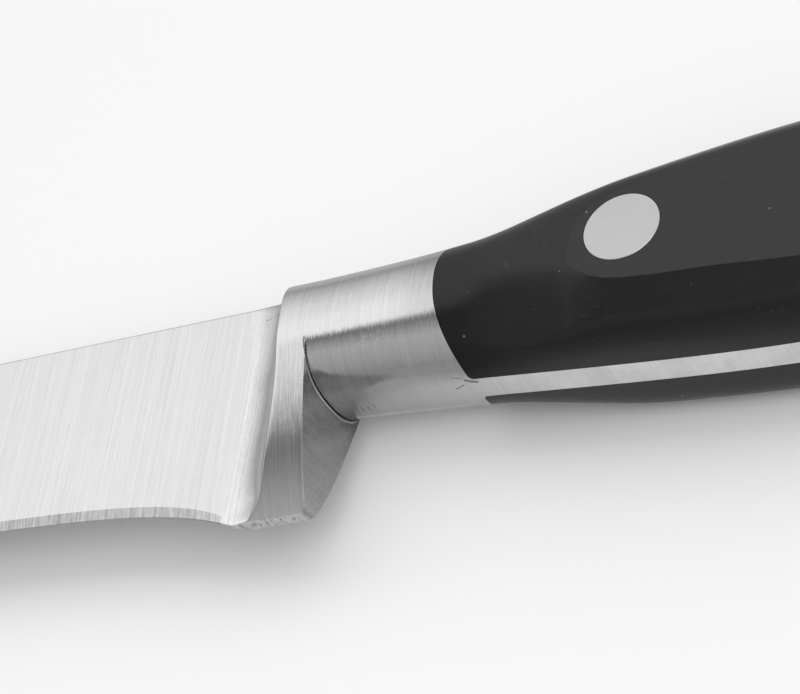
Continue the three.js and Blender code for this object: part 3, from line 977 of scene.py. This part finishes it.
# What each mark adds to the steel's tone, to the coarse finish of bevel, foot and fillet, to its
# roughness and to its relief
# Painted reflection: the foot's tone makes the heel's underside paler, standing in for bright surroundings
# mirrored in it; its coarse grinding and pits are its own
STEEL_TONE = {
    "lines": 0.4, "bands": 0.05, "patches": 0.05, "grit": 0.08, "scratch": -0.1, "scuff": 0.3,
    "dings": -0.6, "handled": -0.2, "stained": 0.5, "tang": 0.09, "fillet": 0.08, "wall": -0.22,
    "bevel": -0.26, "foot": 0.56, "pitted": -0.8, "coarse": 1.0,
}
UNEVEN = {"bevel": 1.0, "foot": 2.0, "fillet": 0.5}
COARSE = {"lines": 0.7, "grit": 0.35}
STEEL_ROUGH = {"lines": 0.14, "patches": 0.1, "scratch": 0.1, "bevel": 0.06, "wall": 0.14}
STEEL_RELIEF = {"lines": 1.0, "scratch": -0.5, "grit": 0.3, "dings": -4.0}
STEEL_RELIEF_DEPTH = 0.012 * MM
# How far the painted shade in groove and slit darkens the steel's colour
PAINTED_SHADE_STRENGTH = -0.6
# How far the brushing leans the steel's normals, in front of the heel's back and behind it
BRUSHED_FRONT, BRUSHED_BEHIND = 0.07, 0.22
BRUSHED_CHANGE = 0.3 * MM


def forged_steel_material(finish, shape):
    """Satin steel, ground across the knife, with a coarser edge bevel and heel, painted shade in the groove
    and slit round the collar, and a painted paleness on the heel's foot.
    """
    material, shader, bench, place = new_material("forged_steel")
    part = bench.node("ShaderNodeSeparateXYZ", {0: place}).outputs
    marks = {name: bench.mark(name) for name in ("wall", "foot", "bevel", "crevice_shade", "fillet")}
    marks.update(bench.grain(place, STEEL_GRAIN))
    grind = bench.blend(marks["wall"], SIDE_GRIND, WALL_GRIND)
    marks["lines"] = bench.noise(place, grind, *GRIND_DETAIL)
    marks["bands"] = bench.noise(place, bench.vector("MULTIPLY", grind, BAND_SPREAD), BAND_DETAIL)
    scratches = bench.noise(bench.turned(place, SCRATCH_TURN), *SCRATCH_GRAIN)
    marks["scratch"] = bench.rise(scratches, *SCRATCH_LIMITS)
    rubbed = bench.rise(bench.noise(bench.turned(place, SCUFF_TURN), *SCUFF_GRAIN), *SCUFF_LIMITS)
    scuffed = bench.near(place, shape.at(SCUFF_PLACE), SCUFF_SIZE, SCUFF_CORE)
    marks["scuff"] = bench.math("MULTIPLY", scuffed, rubbed)
    marks["dings"] = 0.0
    for start, end, width in DINGS:
        stroke = bench.stroke(place, shape.at(start), shape.at(end), width * MM)
        marks["dings"] = bench.math("MAXIMUM", stroke, marks["dings"])
    upper = bench.across(part["Y"], shape.place[1], HANDLED_HEIGHT)
    marks["handled"] = bench.math("MULTIPLY", bench.across(part["X"], shape.place[0], HANDLED_SPAN), upper)
    marks["tang"] = bench.across(part["X"], shape.place[0], TANG_SPAN)
    marks["stained"] = bench.math("MULTIPLY", marks["tang"], marks["blotches"])
    marks["pitted"] = bench.math("MULTIPLY", marks["foot"], bench.rise(marks["pits"], *PIT_LIMITS))
    marks["coarse"] = bench.math("MULTIPLY", bench.weigh(marks, UNEVEN), bench.weigh(marks, COARSE))

    tone = bench.math("ADD", bench.weigh(marks, STEEL_TONE), 1.0)
    # Painted shade: the steel's colour darkened in the groove and slit round the collar
    shade = bench.math("MULTIPLY_ADD", marks["crevice_shade"], PAINTED_SHADE_STRENGTH, 1.0)
    tone = bench.math("MULTIPLY", tone, shade)
    rough = bench.weigh(marks, STEEL_ROUGH)
    clad(bench, shader, tone, finish.steel[0], rough, finish.steel_roughness)
    shader.inputs["Metallic"].default_value = 1

    normal = bench.node("ShaderNodeNewGeometry").outputs["Normal"]
    lean = bench.vector("SCALE", bench.vector("CROSS_PRODUCT", (1, 0, 0), normal))
    heel = float(shape.heel + shape.place[0])
    brushed = bench.rise(part["X"], heel, heel + BRUSHED_CHANGE, BRUSHED_FRONT, BRUSHED_BEHIND)
    bench.feed(lean.node.inputs["Scale"], bench.math("MULTIPLY", marks["ragged"], brushed))
    leaning = bench.vector("NORMALIZE", bench.vector("ADD", normal, lean))
    embossed(bench, shader, bench.weigh(marks, STEEL_RELIEF), STEEL_RELIEF_DEPTH, Normal=leaning)
    return material


# Rubbed patch on the scale between collar and rivet
WORN_PLACE = (6.0, 1.0, 7.4)
WORN_SIZE = (5.0, 4.0, 3.0)
WORN_CORE = 0.4
WORN_TURN = (0, 0, 1.1)
WORN_GRAIN = ((420, 4200, 4200), 3, 0.6)
WORN_LIMITS = (0.08, 0.2)
SCALE_SCUFF_TURN = (0, 0, 0.16)
SCALE_SCUFF_GRAIN = ((130, 2600, 2600), 3, 0.55)
SCALE_SCUFF_LIMITS = (0.15, 0.24)
# Specks in the plastic: cells to the metre, edge and core of a dot, and the chance that leaves one out
DOTS = (420.0, (0.07, 0.03), 0.74)
NICKS = (950.0, (0.09, 0.03), 0.82)
# Painted shade: the scales' colour darkens towards their front end, standing in for the surfaces there
# turning from the light
FRONT_SHADE_SPAN = (6, -2)
# Heights from the flat, in millimetres, over which its grinding fades
FLAT_FADE = (-0.025, -0.003)
SANDING_SHARE = 0.4
PLASTIC_GRAIN = {
    "grain": ((2600, 2600, 2600), 3, 0.6),
    "clouds": ((120, 160, 160), 3),
    "sanding": ((240, 3800, 3800), 3, 0.6),
}
PLASTIC_TONE = {
    "grain": 0.4, "clouds": 0.45, "scuff": 0.9, "dot": 11.0, "front": -0.7, "nick": 5.0, "worn": 2.0,
}
PLASTIC_ROUGH = {"grain": 0.12, "clouds": 0.16, "scuff": 0.1, "flat": 0.04}
PLASTIC_RELIEF = {"grain": 1.0, "scuff": -1.5, "sanded": 1.0, "dot": 3.0}
PLASTIC_RELIEF_DEPTH = 0.01 * MM
PLASTIC_GLOSS = 0.32


def grip_plastic_material(finish, shape):
    """Dense black plastic. The flats are ground, so they are greyer than the roundings. The front end has
    painted shade.
    """
    material, shader, bench, place = new_material("grip_plastic")
    part = bench.node("ShaderNodeSeparateXYZ", {0: place}).outputs
    marks = bench.grain(place, PLASTIC_GRAIN)
    # Painted shade towards the scales' front end
    marks["front"] = bench.across(part["X"], shape.place[0], FRONT_SHADE_SPAN)
    aside = bench.math("ABSOLUTE", bench.math("SUBTRACT", part["Z"], float(shape.place[2])))
    marks["flat"] = bench.across(aside, shape.half_grip, FLAT_FADE)
    marks["sanded"] = bench.math("MULTIPLY", marks["sanding"], marks["flat"])
    scuffs = bench.noise(bench.turned(place, SCALE_SCUFF_TURN), *SCALE_SCUFF_GRAIN)
    marks["scuff"] = bench.rise(scuffs, *SCALE_SCUFF_LIMITS)
    marks["dot"] = bench.specks(place, *DOTS)
    marks["nick"] = bench.specks(place, *NICKS)
    rubs = bench.rise(bench.noise(bench.turned(place, WORN_TURN), *WORN_GRAIN), *WORN_LIMITS)
    worn = bench.near(place, shape.at(WORN_PLACE), WORN_SIZE, WORN_CORE)
    marks["worn"] = bench.math("MULTIPLY", worn, rubs)

    ground = bench.math("MULTIPLY_ADD", marks["sanded"], SANDING_SHARE, marks["flat"])
    ground = bench.math("MULTIPLY_ADD", ground, finish.ground_share, 1.0)
    tone = bench.math("ADD", ground, bench.weigh(marks, PLASTIC_TONE))
    rough = bench.weigh(marks, PLASTIC_ROUGH)
    clad(bench, shader, tone, finish.plastic[0], rough, finish.plastic_roughness)
    shader.inputs["Specular IOR Level"].default_value = PLASTIC_GLOSS
    embossed(bench, shader, bench.weigh(marks, PLASTIC_RELIEF), PLASTIC_RELIEF_DEPTH)
    return material


RIVET_GRAIN = {
    "lines": ((70, 2600, 2600), 4, 0.6),
    "grit": ((1500, 1500, 1500), 3, 0.6),
    "patches": ((260, 260, 260), 3),
}
RIVET_TONE = {"lines": 0.07, "grit": 0.05, "patches": 0.12}
RIVET_ROUGH = {"lines": 0.12, "patches": 0.12}
RIVET_RELIEF = {"lines": 1.0, "grit": 0.4}
RIVET_RELIEF_DEPTH = 0.012 * MM


def rivet_steel_material(finish):
    """Rivet heads ground flush along the grip."""
    material, shader, bench, place = new_material("rivet_steel")
    marks = bench.grain(place, RIVET_GRAIN)
    tone = bench.math("ADD", bench.weigh(marks, RIVET_TONE), 1.0)
    rough = bench.weigh(marks, RIVET_ROUGH)
    clad(bench, shader, tone, finish.rivet_steel[0], rough, finish.rivet_roughness)
    shader.inputs["Metallic"].default_value = 1
    embossed(bench, shader, bench.weigh(marks, RIVET_RELIEF), RIVET_RELIEF_DEPTH)
    return material


class HAMKNIFE_OT_forging(bpy.types.Operator):
    """Builds blade, bolster and tang as the one forging they are"""
    bl_idname = "ham_knife.forging"
    bl_label = "Forging"

    def execute(self, context):
        settings = context.scene.ham_knife
        shape = KnifeShape(settings)
        rings = forging_rings(shape)
        names = [name for name, _ in rings]
        left = np.array([ring for _, ring in rings])
        right = left[:, LAST_ROW - 1:0:-1] * (1, 1, -1)
        full = np.concatenate([left, right], axis=1)
        stations, count = full.shape[:2]
        points = (full + shape.place).reshape(-1, 3)
        faces = []
        for i in range(stations - 1):
            for j in range(count):
                here, beside = i * count + j, i * count + (j + 1) % count
                faces.append((here, beside, beside + count, here + count))
        faces.append(tuple(reversed(range(count))))
        faces.append(tuple((stations - 1) * count + j for j in range(count)))
        points, faces, same = welded(points, faces)
        piece = mesh_object("forging", points, faces)
        facing_out(piece.data)
        shoulder, bevel, crevice_shade, fillet = np.zeros((4, len(points)))
        for i, name in enumerate(names):
            row = same[i * count:(i + 1) * count]
            if name == "blade":
                shoulder[row[[SIDE_END, count - SIDE_END]]] = 1
                bevel[row[SIDE_END:count - SIDE_END + 1]] = 1
            if name == "fillet":
                fillet[row] = 1
            # Painted shade in the groove and in the slit where heel and collar part
            if name in GROOVE_PAINTED_SHADE:
                first = SHOULDER + GROOVE_SHADE_ROW[name]
                crevice_shade[row[first:count - first + 1]] = GROOVE_PAINTED_SHADE[name]
            if name in SLIT_END:
                slit = 1 - smoothstep(-full[i, :, 1], SLIT_START, SLIT_END[name])
                slit[:SHOULDER + 2] = slit[count - SHOULDER - 1:] = 0
                crevice_shade[row] = np.maximum(crevice_shade[row], slit)
        mark_zones(piece.data, shape, bevel, crevice_shade, fillet)
        sharpened(
            piece.data, CRISP_FORGING,
            lambda edge, angle: all(shoulder[v.index] for v in edge.verts) and angle > CRISP_BEVEL,
        )
        barrel = shape.rivet.barrel_diameter + 2 * shape.rivet.bore_clearance
        bored(piece, shape, [(barrel, -shape.half_grip, shape.half_grip)])
        material = forged_steel_material(settings.finish, shape)
        finished(piece, "root", ["blade_forging"], material)
        return {"FINISHED"}


# Faces of the heel by their normals: X of its back, and of the foot's rear corner; Y of the foot's
# underside, and the limit on Z for both. The corner has only a trace of the foot's finish and of its painted
# paleness.
BACK_X, CORNER_X, UNDER_Y, LOW_Z = 0.8, 0.35, -0.8, 0.5
CORNER_TRACE = 0.05
BACK_REACH = 0.3 * MM


def mark_zones(mesh, shape, bevel, crevice_shade, fillet):
    """Marks that the steel's finish reads: edge bevel, back and foot of the heel, and the painted shade in
    the groove and slit.
    """
    heel = shape.heel + shape.place[0]
    foot = shape.place[1] - shape.bolster.heel_depth + shape.bolster.heel_corner
    on_bevel, on_wall, on_foot = [], [], []
    for face in mesh.polygons:
        on_bevel.append(float(all(bevel[i] for i in face.vertices)))
        low = face.center.y < foot and abs(face.normal.z) < LOW_Z and not on_bevel[-1]
        behind = face.normal.x > BACK_X and abs(face.center.x - heel) < BACK_REACH
        on_wall.append(float(behind or low and face.normal.x > CORNER_X))
        on_foot.append(1.0 if low and face.normal.y < UNDER_Y else CORNER_TRACE * low)
    for name, domain, values in (
        ("bevel", "FACE", on_bevel), ("wall", "FACE", on_wall), ("foot", "FACE", on_foot),
        ("crevice_shade", "POINT", crevice_shade), ("fillet", "POINT", fillet),
    ):
        mesh.attributes.new(name, "FLOAT", domain).data.foreach_set("value", list(values))


# The flat starts at least this turn before the widest place, and the crease lies above this share
# of the belly
FLAT_TURN = 0.14
CREASE_LIMIT = 0.9
# Height over the tang, in eases, from which the scale's front edge is fully eased
EASE_ROOM = 4


def scale_grid(shape):
    """Outer and inner sheet of the left scale, as stations by rows."""
    grip = shape.grip

    def turns(x, corner):
        rows = BACK_ROWS + FLAT_ROWS + BELLY_ROWS + 1
        x = np.broadcast_to(x, (rows,))
        share = np.clip(shape.half_grip / shape.half_width(x), 0.0, 1.0)
        upper = np.arcsin(share ** (shape.squareness(x, True) / 2))
        upper = np.minimum(upper, QUARTER - FLAT_TURN)
        level = np.clip(shape.crease(x) / shape.belly(x), 0.0, CREASE_LIMIT)
        lower = math.pi - np.arccos(level ** (shape.squareness(x, False) / 2))
        top = shape.turn_at(x, corner, True)
        bottom = shape.turn_at(x, corner, False)
        i = np.arange(rows)
        back = lerp(top, upper, np.clip(i / BACK_ROWS, 0, 1))
        flat = np.clip((i - BACK_ROWS) / FLAT_ROWS, 0, 1)
        belly = np.clip((i - BACK_ROWS - FLAT_ROWS) / BELLY_ROWS, 0, 1)
        return lerp(lerp(back, lower, flat), bottom, belly)

    outer, inner = [], []

    def station(x_at, half, inset):
        corner = half + grip.glue_line
        ring = shape.ring_along(x_at, corner, turns)
        ring[:, 2] = np.minimum(ring[:, 2], shape.half_grip)
        inside = ring.copy()
        inside[:, 2] = corner
        normal = outward(ring)
        normal[0], normal[-1] = normal[1], normal[-2]
        room = np.clip((ring[:, 2] - corner) / (EASE_ROOM * grip.front_ease), 0, 1)
        ring[:, 1:] -= normal * (inset * room)[:, None]
        outer.append(ring)
        inner.append(inside)

    fillet, gap, ease = grip.tang_fillet, grip.seat_gap, grip.front_ease
    for turn in np.linspace(0, QUARTER, EASE_STATIONS):
        behind = ease * (1 - math.cos(turn))
        inset = ease * (1 - math.sin(turn))
        station(lambda y: shape.seat(y) + gap + behind, shape.tang_half(behind), inset)
    for behind in np.linspace(ease, fillet, EASE_STATIONS)[1:]:
        station(lambda y: shape.seat(y) + gap + behind, shape.tang_half(behind), 0.0)
    for share in np.linspace(0, 1, SCALE_STATIONS)[1:]:
        station(lambda y: lerp(shape.seat(y) + gap + fillet, SCALE_SETTLED, share), shape.half_tang, 0.0)
    for x in grip_stations(shape, SCALE_SETTLED):
        station(lambda y: np.full_like(y, x), shape.half_tang, 0.0)
    return np.array(outer), np.array(inner)


class HAMKNIFE_OT_scales(bpy.types.Operator):
    """Builds the left and the right grip scale with their rivet bores"""
    bl_idname = "ham_knife.scales"
    bl_label = "Scales"

    def execute(self, context):
        settings = context.scene.ham_knife
        shape = KnifeShape(settings)
        rivet = shape.rivet
        material = grip_plastic_material(settings.finish, shape)
        outer, inner = scale_grid(shape)
        stations, rows = outer.shape[:2]
        faces = []
        inside = stations * rows
        for i in range(stations - 1):
            for j in range(rows - 1):
                here, below = i * rows + j, i * rows + j + 1
                faces.append((here, below, below + rows, here + rows))
                faces.append((inside + here, inside + here + rows, inside + below + rows, inside + below))
        for j in range(rows - 1):
            faces.append((j, inside + j, inside + j + 1, j + 1))
            end = (stations - 1) * rows + j
            faces.append((end, end + 1, inside + end + 1, inside + end))
        for name, side in (("left", 1), ("right", -1)):
            both = np.concatenate([outer.reshape(-1, 3), inner.reshape(-1, 3)])
            points = both * (1, 1, side) + shape.place
            points, kept, _ = welded(points, faces)
            piece = mesh_object(f"scale_{name}", points, kept)
            facing_out(piece.data)
            barrel = rivet.barrel_diameter + 2 * rivet.bore_clearance
            head = rivet.head_diameter + 2 * rivet.bore_clearance
            floor = shape.half_grip - rivet.head_depth
            spans = sorted((side * floor, side * 2 * shape.half_grip))
            bored(piece, shape, [
                (barrel, *sorted((0.0, side * shape.half_grip))),
                (head, *spans),
            ])
            flat = shape.place[2] + side * shape.half_grip

            def crease(edge, angle):
                return angle > CRISP_FLAT and all(abs(v.co.z - flat) < SAME_LEVEL for v in edge.verts)

            sharpened(piece.data, CRISP_SCALE, crease)
            finished(piece, "root", [f"{name}_scale"], material)
        return {"FINISHED"}


def rivet_tree(name, sizes, profile, material):
    """Nodes that turn half a rivet from its profile and set a row of them."""
    tree = bpy.data.node_groups.new(name, "GeometryNodeTree")
    tree.interface.new_socket("Geometry", in_out="OUTPUT", socket_type="NodeSocketGeometry")
    kinds = {int: "NodeSocketInt", float: "NodeSocketFloat", Vector: "NodeSocketVector"}
    for label, value in sizes.items():
        tree.interface.new_socket(label, in_out="INPUT", socket_type=kinds[type(value)])
    bench = Bench(tree)
    given = bench.node("NodeGroupInput").outputs
    places = profile(bench, given)

    radius, height = places[0]
    circle = {"Vertices": CIRCLE_POINTS, "Radius": radius}
    disc = bench.node("GeometryNodeMeshCircle", circle, fill_type="NGON")
    lift = bench.node("ShaderNodeCombineXYZ", {"Z": height}).outputs[0]
    cap = bench.node("GeometryNodeTransform", {"Geometry": disc.outputs[0], "Translation": lift}).outputs[0]
    body, top = cap, True
    for (radius, height), (next_radius, next_height) in zip(places, places[1:]):
        step = bench.math("SUBTRACT", next_height, height)
        offset = bench.node("ShaderNodeCombineXYZ", {"Z": step}).outputs[0]
        drawn = bench.node("GeometryNodeExtrudeMesh", {
            "Mesh": body, "Selection": top, "Offset": offset, "Offset Scale": 1.0, "Individual": False,
        })
        top = drawn.outputs["Top"]
        widened = bench.node("GeometryNodeScaleElements", {
            "Geometry": drawn.outputs["Mesh"], "Selection": top,
            "Scale": bench.math("DIVIDE", next_radius, radius),
        })
        body = widened.outputs[0]
    joined = bench.node("GeometryNodeJoinGeometry")
    for part in (body, bench.node("GeometryNodeFlipFaces", {0: cap}).outputs[0]):
        tree.links.new(part, joined.inputs[0])
    closed = bench.node("GeometryNodeMergeByDistance", {
        "Geometry": joined.outputs[0], "Distance": SAME_LEVEL,
    })

    pitch = bench.node("ShaderNodeCombineXYZ", {"X": given["Pitch"]}).outputs[0]
    row = bench.node("GeometryNodeMeshLine", {
        "Count": given["Count"], "Start Location": given["First"], "Offset": pitch,
    })
    rivets = bench.node("GeometryNodeInstanceOnPoints", {
        "Points": row.outputs[0], "Instance": closed.outputs[0],
    })
    solid = bench.node("GeometryNodeRealizeInstances", {0: rivets.outputs[0]})
    dressed = bench.node("GeometryNodeSetMaterial", {"Geometry": solid.outputs[0], "Material": material})
    bench.node("NodeGroupOutput", {0: dressed.outputs[0]})
    return tree


def socket_profile(bench, given):
    """Radius and height from the head's face down the barrel and up into its hole."""
    face, head, barrel, hole = (given[k] for k in ("Face", "Head radius", "Barrel radius", "Hole radius"))
    floor = bench.math("SUBTRACT", face, given["Head depth"])
    end = bench.math("MULTIPLY", floor, -1.0)
    return [
        (bench.math("SUBTRACT", head, given["Ease"]), face),
        (head, bench.math("SUBTRACT", face, given["Ease"])),
        (head, floor),
        (barrel, floor),
        (barrel, end),
        (hole, end),
        (hole, bench.math("ADD", end, given["Engagement"])),
    ]


# Chamfer at the pin's end, in eases of the head
PIN_CHAMFER = 5.0


def pin_profile(bench, given):
    """Radius and height from the other head's face up the pin to its chamfered end."""
    face, head, pin, ease = (given[k] for k in ("Face", "Head radius", "Pin radius", "Ease"))
    bottom = bench.math("MULTIPLY", face, -1.0)
    floor = bench.math("ADD", bottom, given["Head depth"])
    end = bench.math("ADD", floor, given["Engagement"])
    chamfer = bench.math("MULTIPLY", ease, PIN_CHAMFER)
    return [
        (bench.math("SUBTRACT", head, ease), bottom),
        (head, bench.math("ADD", bottom, ease)),
        (head, floor),
        (pin, floor),
        (pin, bench.math("SUBTRACT", end, chamfer)),
        (bench.math("SUBTRACT", pin, chamfer), end),
    ]


class HAMKNIFE_OT_rivets(bpy.types.Operator):
    """Builds the socket and pin halves of the rivets"""
    bl_idname = "ham_knife.rivets"
    bl_label = "Rivets"

    def execute(self, context):
        settings = context.scene.ham_knife
        shape = KnifeShape(settings)
        rivet = shape.rivet
        material = rivet_steel_material(settings.finish)
        row = rivet_row(shape)
        sizes = {
            "Count": rivet.count,
            "First": Vector(shape.place + np.array([row[0], rivet.line_height, 0])),
            "Pitch": float(row[1] - row[0]),
            "Face": shape.half_grip,
            "Head radius": rivet.head_diameter / 2,
            "Head depth": rivet.head_depth,
            "Ease": rivet.head_ease,
            "Barrel radius": rivet.barrel_diameter / 2,
            "Hole radius": rivet.pin_diameter / 2 + rivet.bore_clearance,
            "Pin radius": rivet.pin_diameter / 2,
            "Engagement": rivet.pin_engagement,
        }
        for half, profile in (("socket", socket_profile), ("pin", pin_profile)):
            tree = rivet_tree(f"rivet_{half}s", sizes, profile, material)
            piece = mesh_object(f"rivet_{half}s", [], [])
            modifier = piece.modifiers.new("rivets", "NODES")
            modifier.node_group = tree
            for socket in tree.interface.items_tree:
                if socket.in_out == "INPUT":
                    modifier[socket.identifier] = sizes[socket.name]
            context.view_layer.update()
            evaluated = piece.evaluated_get(context.evaluated_depsgraph_get())
            mesh = bpy.data.meshes.new_from_object(evaluated)
            piece.modifiers.remove(modifier)
            if not mesh.polygons:
                raise RuntimeError(f"no rivet {half}s were made")
            piece.data = mesh
            facing_out(mesh)
            mesh.shade_smooth()
            sharpened(mesh, CRISP_RIVET)
            nodes = [f"{where}_rivet_{half}" for where in ("front", "middle", "rear")]
            finished(piece, "root", nodes, material)
        return {"FINISHED"}


# Brightness of the studio by the angle of a ray round the knife's length, in degrees from
# straight up: a bright panel over the back, and a dim front
STUDIO_LIGHT = (
    (-95, 0.3), (-85, 0.35), (-75, 0.4), (-62, 0.45), (-28, 0.55), (-12, 0.4), (-4, 0.28),
    (1, 0.2), (3.7, 0.18), (4.9, 0.48), (7.8, 0.74), (9, 0.88), (10.6, 1.3), (14, 1.26), (34, 1.22),
    (40, 1.12), (50, 0.91), (58, 0.78), (66, 0.67), (75, 0.56), (85, 0.43), (95, 0.36),
)
# Rays that run far towards the tip meet less of the panel
PANEL_END = -0.9
PANEL_START = -0.6
PANEL_FADE = 0.97
# Place of straight up in the ramp of light, and half the floor's side in metres
RAMP_MIDDLE = 0.5
FLOOR_REACH = 4
FLAG_LIFT = 0.3 * MM
# Distances before the knife, in millimetres, over which the painted-reflection card pales, by the blade and
# by the grip
FLAG_DARKENS = (34, 8)
FLAG_ENDS = (20, 12)
# Camera, fitted to the photo: eye in millimetres from the knife's axes, and its directions
CAMERA_SENSOR = 36
CAMERA_NEAR = 0.01
CAMERA_LENS = 92.25
CAMERA_EYE = (75.492, -108.163, 130.372)
CAMERA_AHEAD = (-0.44734, 0.56747, -0.69128)
CAMERA_UP = (0.16758, 0.81242, 0.55847)
SOFTBOX_SIDE = (0.55, -0.35, 0.75)


class HAMKNIFE_OT_stage(bpy.types.Operator):
    """Sets the pale floor, the soft light and the camera"""
    bl_idname = "ham_knife.stage"
    bl_label = "Stage"

    def execute(self, context):
        scene = context.scene
        studio = scene.ham_knife.studio
        shape = KnifeShape(scene.ham_knife)
        scene.view_settings.view_transform = "Standard"

        self.sheet("floor", studio.floor, (-FLOOR_REACH, -FLOOR_REACH), (FLOOR_REACH, FLOOR_REACH), 0.0)
        # Painted reflections: grey cards that only glossy rays meet, darkening what the steel mirrors in
        # front of and behind the knife
        corner = (FLOOR_REACH, -studio.flag_start)
        flag = self.sheet("flag", studio.floor, (-FLOOR_REACH, -FLOOR_REACH), corner, FLAG_LIFT)
        low, high = (-FLOOR_REACH, studio.back_start), (shape.place[0], FLOOR_REACH)
        back = self.sheet("flag_behind", (studio.back_flag,) * 3, low, high, FLAG_LIFT)
        for card in (flag, back):
            card.visible_camera = card.visible_diffuse = card.visible_shadow = False
            card.visible_transmission = card.visible_volume_scatter = False
        bench = Bench(flag.active_material.node_tree)
        place = bench.node("ShaderNodeTexCoord").outputs["Object"]
        part = bench.node("ShaderNodeSeparateXYZ", {0: place}).outputs
        grey, end = (
            bench.rise(part["Y"], *(-away * MM for away in places), far, near)
            for places, far, near in (
                (FLAG_DARKENS, studio.flag_far, studio.flag),
                (FLAG_ENDS, studio.flag_end, studio.floor[0]),
            )
        )
        fade = shape.place[0] - studio.flag_setback
        share = bench.rise(part["X"], fade - studio.flag_fade, fade + studio.flag_fade)
        grey = bench.math("MULTIPLY_ADD", share, bench.math("SUBTRACT", end, grey), grey)
        bench.feed(bench.tree.nodes["Principled BSDF"].inputs["Base Color"], grey)
        scene.world = self.light_all_round()

        lamp = bpy.data.lights.new("softbox", "AREA")
        lamp.shape = "SQUARE"
        lamp.size = studio.softbox_size
        lamp.energy = studio.softbox_power
        softbox = bpy.data.objects.new("softbox", lamp)
        side = Vector(SOFTBOX_SIDE).normalized()
        softbox.location = side * studio.softbox_distance
        softbox.rotation_euler = side.to_track_quat("Z", "Y").to_euler()
        scene.collection.objects.link(softbox)

        camera = bpy.data.cameras.new("camera")
        camera.sensor_width = CAMERA_SENSOR
        camera.lens = CAMERA_LENS
        camera.clip_start = CAMERA_NEAR
        view = bpy.data.objects.new("camera", camera)
        away = -Vector(CAMERA_AHEAD).normalized()
        right = Vector(CAMERA_UP).cross(away).normalized()
        turn = Matrix((right, away.cross(right), away)).transposed()
        view.matrix_world = Matrix.Translation(shape.at(CAMERA_EYE)) @ turn.to_4x4()
        scene.collection.objects.link(view)
        scene.camera = view
        return {"FINISHED"}

    def sheet(self, name, grey, low, high, height):
        """A level sheet of paper between two corners."""
        corners = [low, (high[0], low[1]), high, (low[0], high[1])]
        sheet = mesh_object(name, [(x, y, height) for x, y in corners], [(0, 1, 2, 3)])
        paper = bpy.data.materials.new(name)
        paper.use_nodes = True
        shader = paper.node_tree.nodes["Principled BSDF"]
        shader.inputs["Base Color"].default_value = (*grey, 1)
        shader.inputs["Roughness"].default_value = 1
        shader.inputs["Specular IOR Level"].default_value = 0
        sheet.data.materials.append(paper)
        return sheet

    def light_all_round(self):
        world = bpy.data.worlds.new("studio")
        world.use_nodes = True
        bench = Bench(world.node_tree)
        ray = bench.node("ShaderNodeTexCoord").outputs["Generated"]
        part = bench.node("ShaderNodeSeparateXYZ", {0: ray}).outputs
        angle = bench.math("ARCTAN2", part["Y"], part["Z"])
        share = bench.math("MULTIPLY_ADD", angle, 1 / (4 * QUARTER), RAMP_MIDDLE)
        ramp = bench.node("ShaderNodeValToRGB", {0: share})
        stops = ramp.color_ramp.elements
        for _ in STUDIO_LIGHT[2:]:
            stops.new(RAMP_MIDDLE)
        for stop, (degrees, light) in zip(stops, STUDIO_LIGHT):
            stop.position = degrees / 360 + RAMP_MIDDLE
            stop.color = (light, light, light, 1)
        fade = bench.rise(part["X"], PANEL_END, PANEL_START, PANEL_FADE, 1.0)
        background = world.node_tree.nodes["Background"]
        bench.feed(background.inputs["Color"], ramp.outputs[0])
        bench.feed(background.inputs["Strength"], fade)
        return world


class HAMKNIFE_PT_panel(bpy.types.Panel):
    """Lists the knife's pieces"""
    bl_idname = "HAMKNIFE_PT_panel"
    bl_label = "Ham Knife"
    bl_space_type = "VIEW_3D"
    bl_region_type = "UI"
    bl_category = "Ham Knife"

    def draw(self, context):
        for operator in OPERATORS:
            self.layout.operator(operator.bl_idname)


OPERATORS = (
    HAMKNIFE_OT_forging,
    HAMKNIFE_OT_scales,
    HAMKNIFE_OT_rivets,
    HAMKNIFE_OT_stage,
)
CLASSES = (
    BladeSizes, BolsterSizes, GripSizes, RivetSizes, Finishes, StudioSettings,
    KnifeSettings,
    *OPERATORS, HAMKNIFE_PT_panel,
)


def register():
    for cls in CLASSES:
        bpy.utils.register_class(cls)
    bpy.types.Scene.ham_knife = bpy.props.PointerProperty(type=KnifeSettings)


def unregister():
    del bpy.types.Scene.ham_knife
    for cls in reversed(CLASSES):
        bpy.utils.unregister_class(cls)


def main():
    register()
    bpy.ops.ham_knife.forging()
    bpy.ops.ham_knife.scales()
    bpy.ops.ham_knife.rivets()
    bpy.ops.ham_knife.stage()


if __name__ == "__main__":
    main()
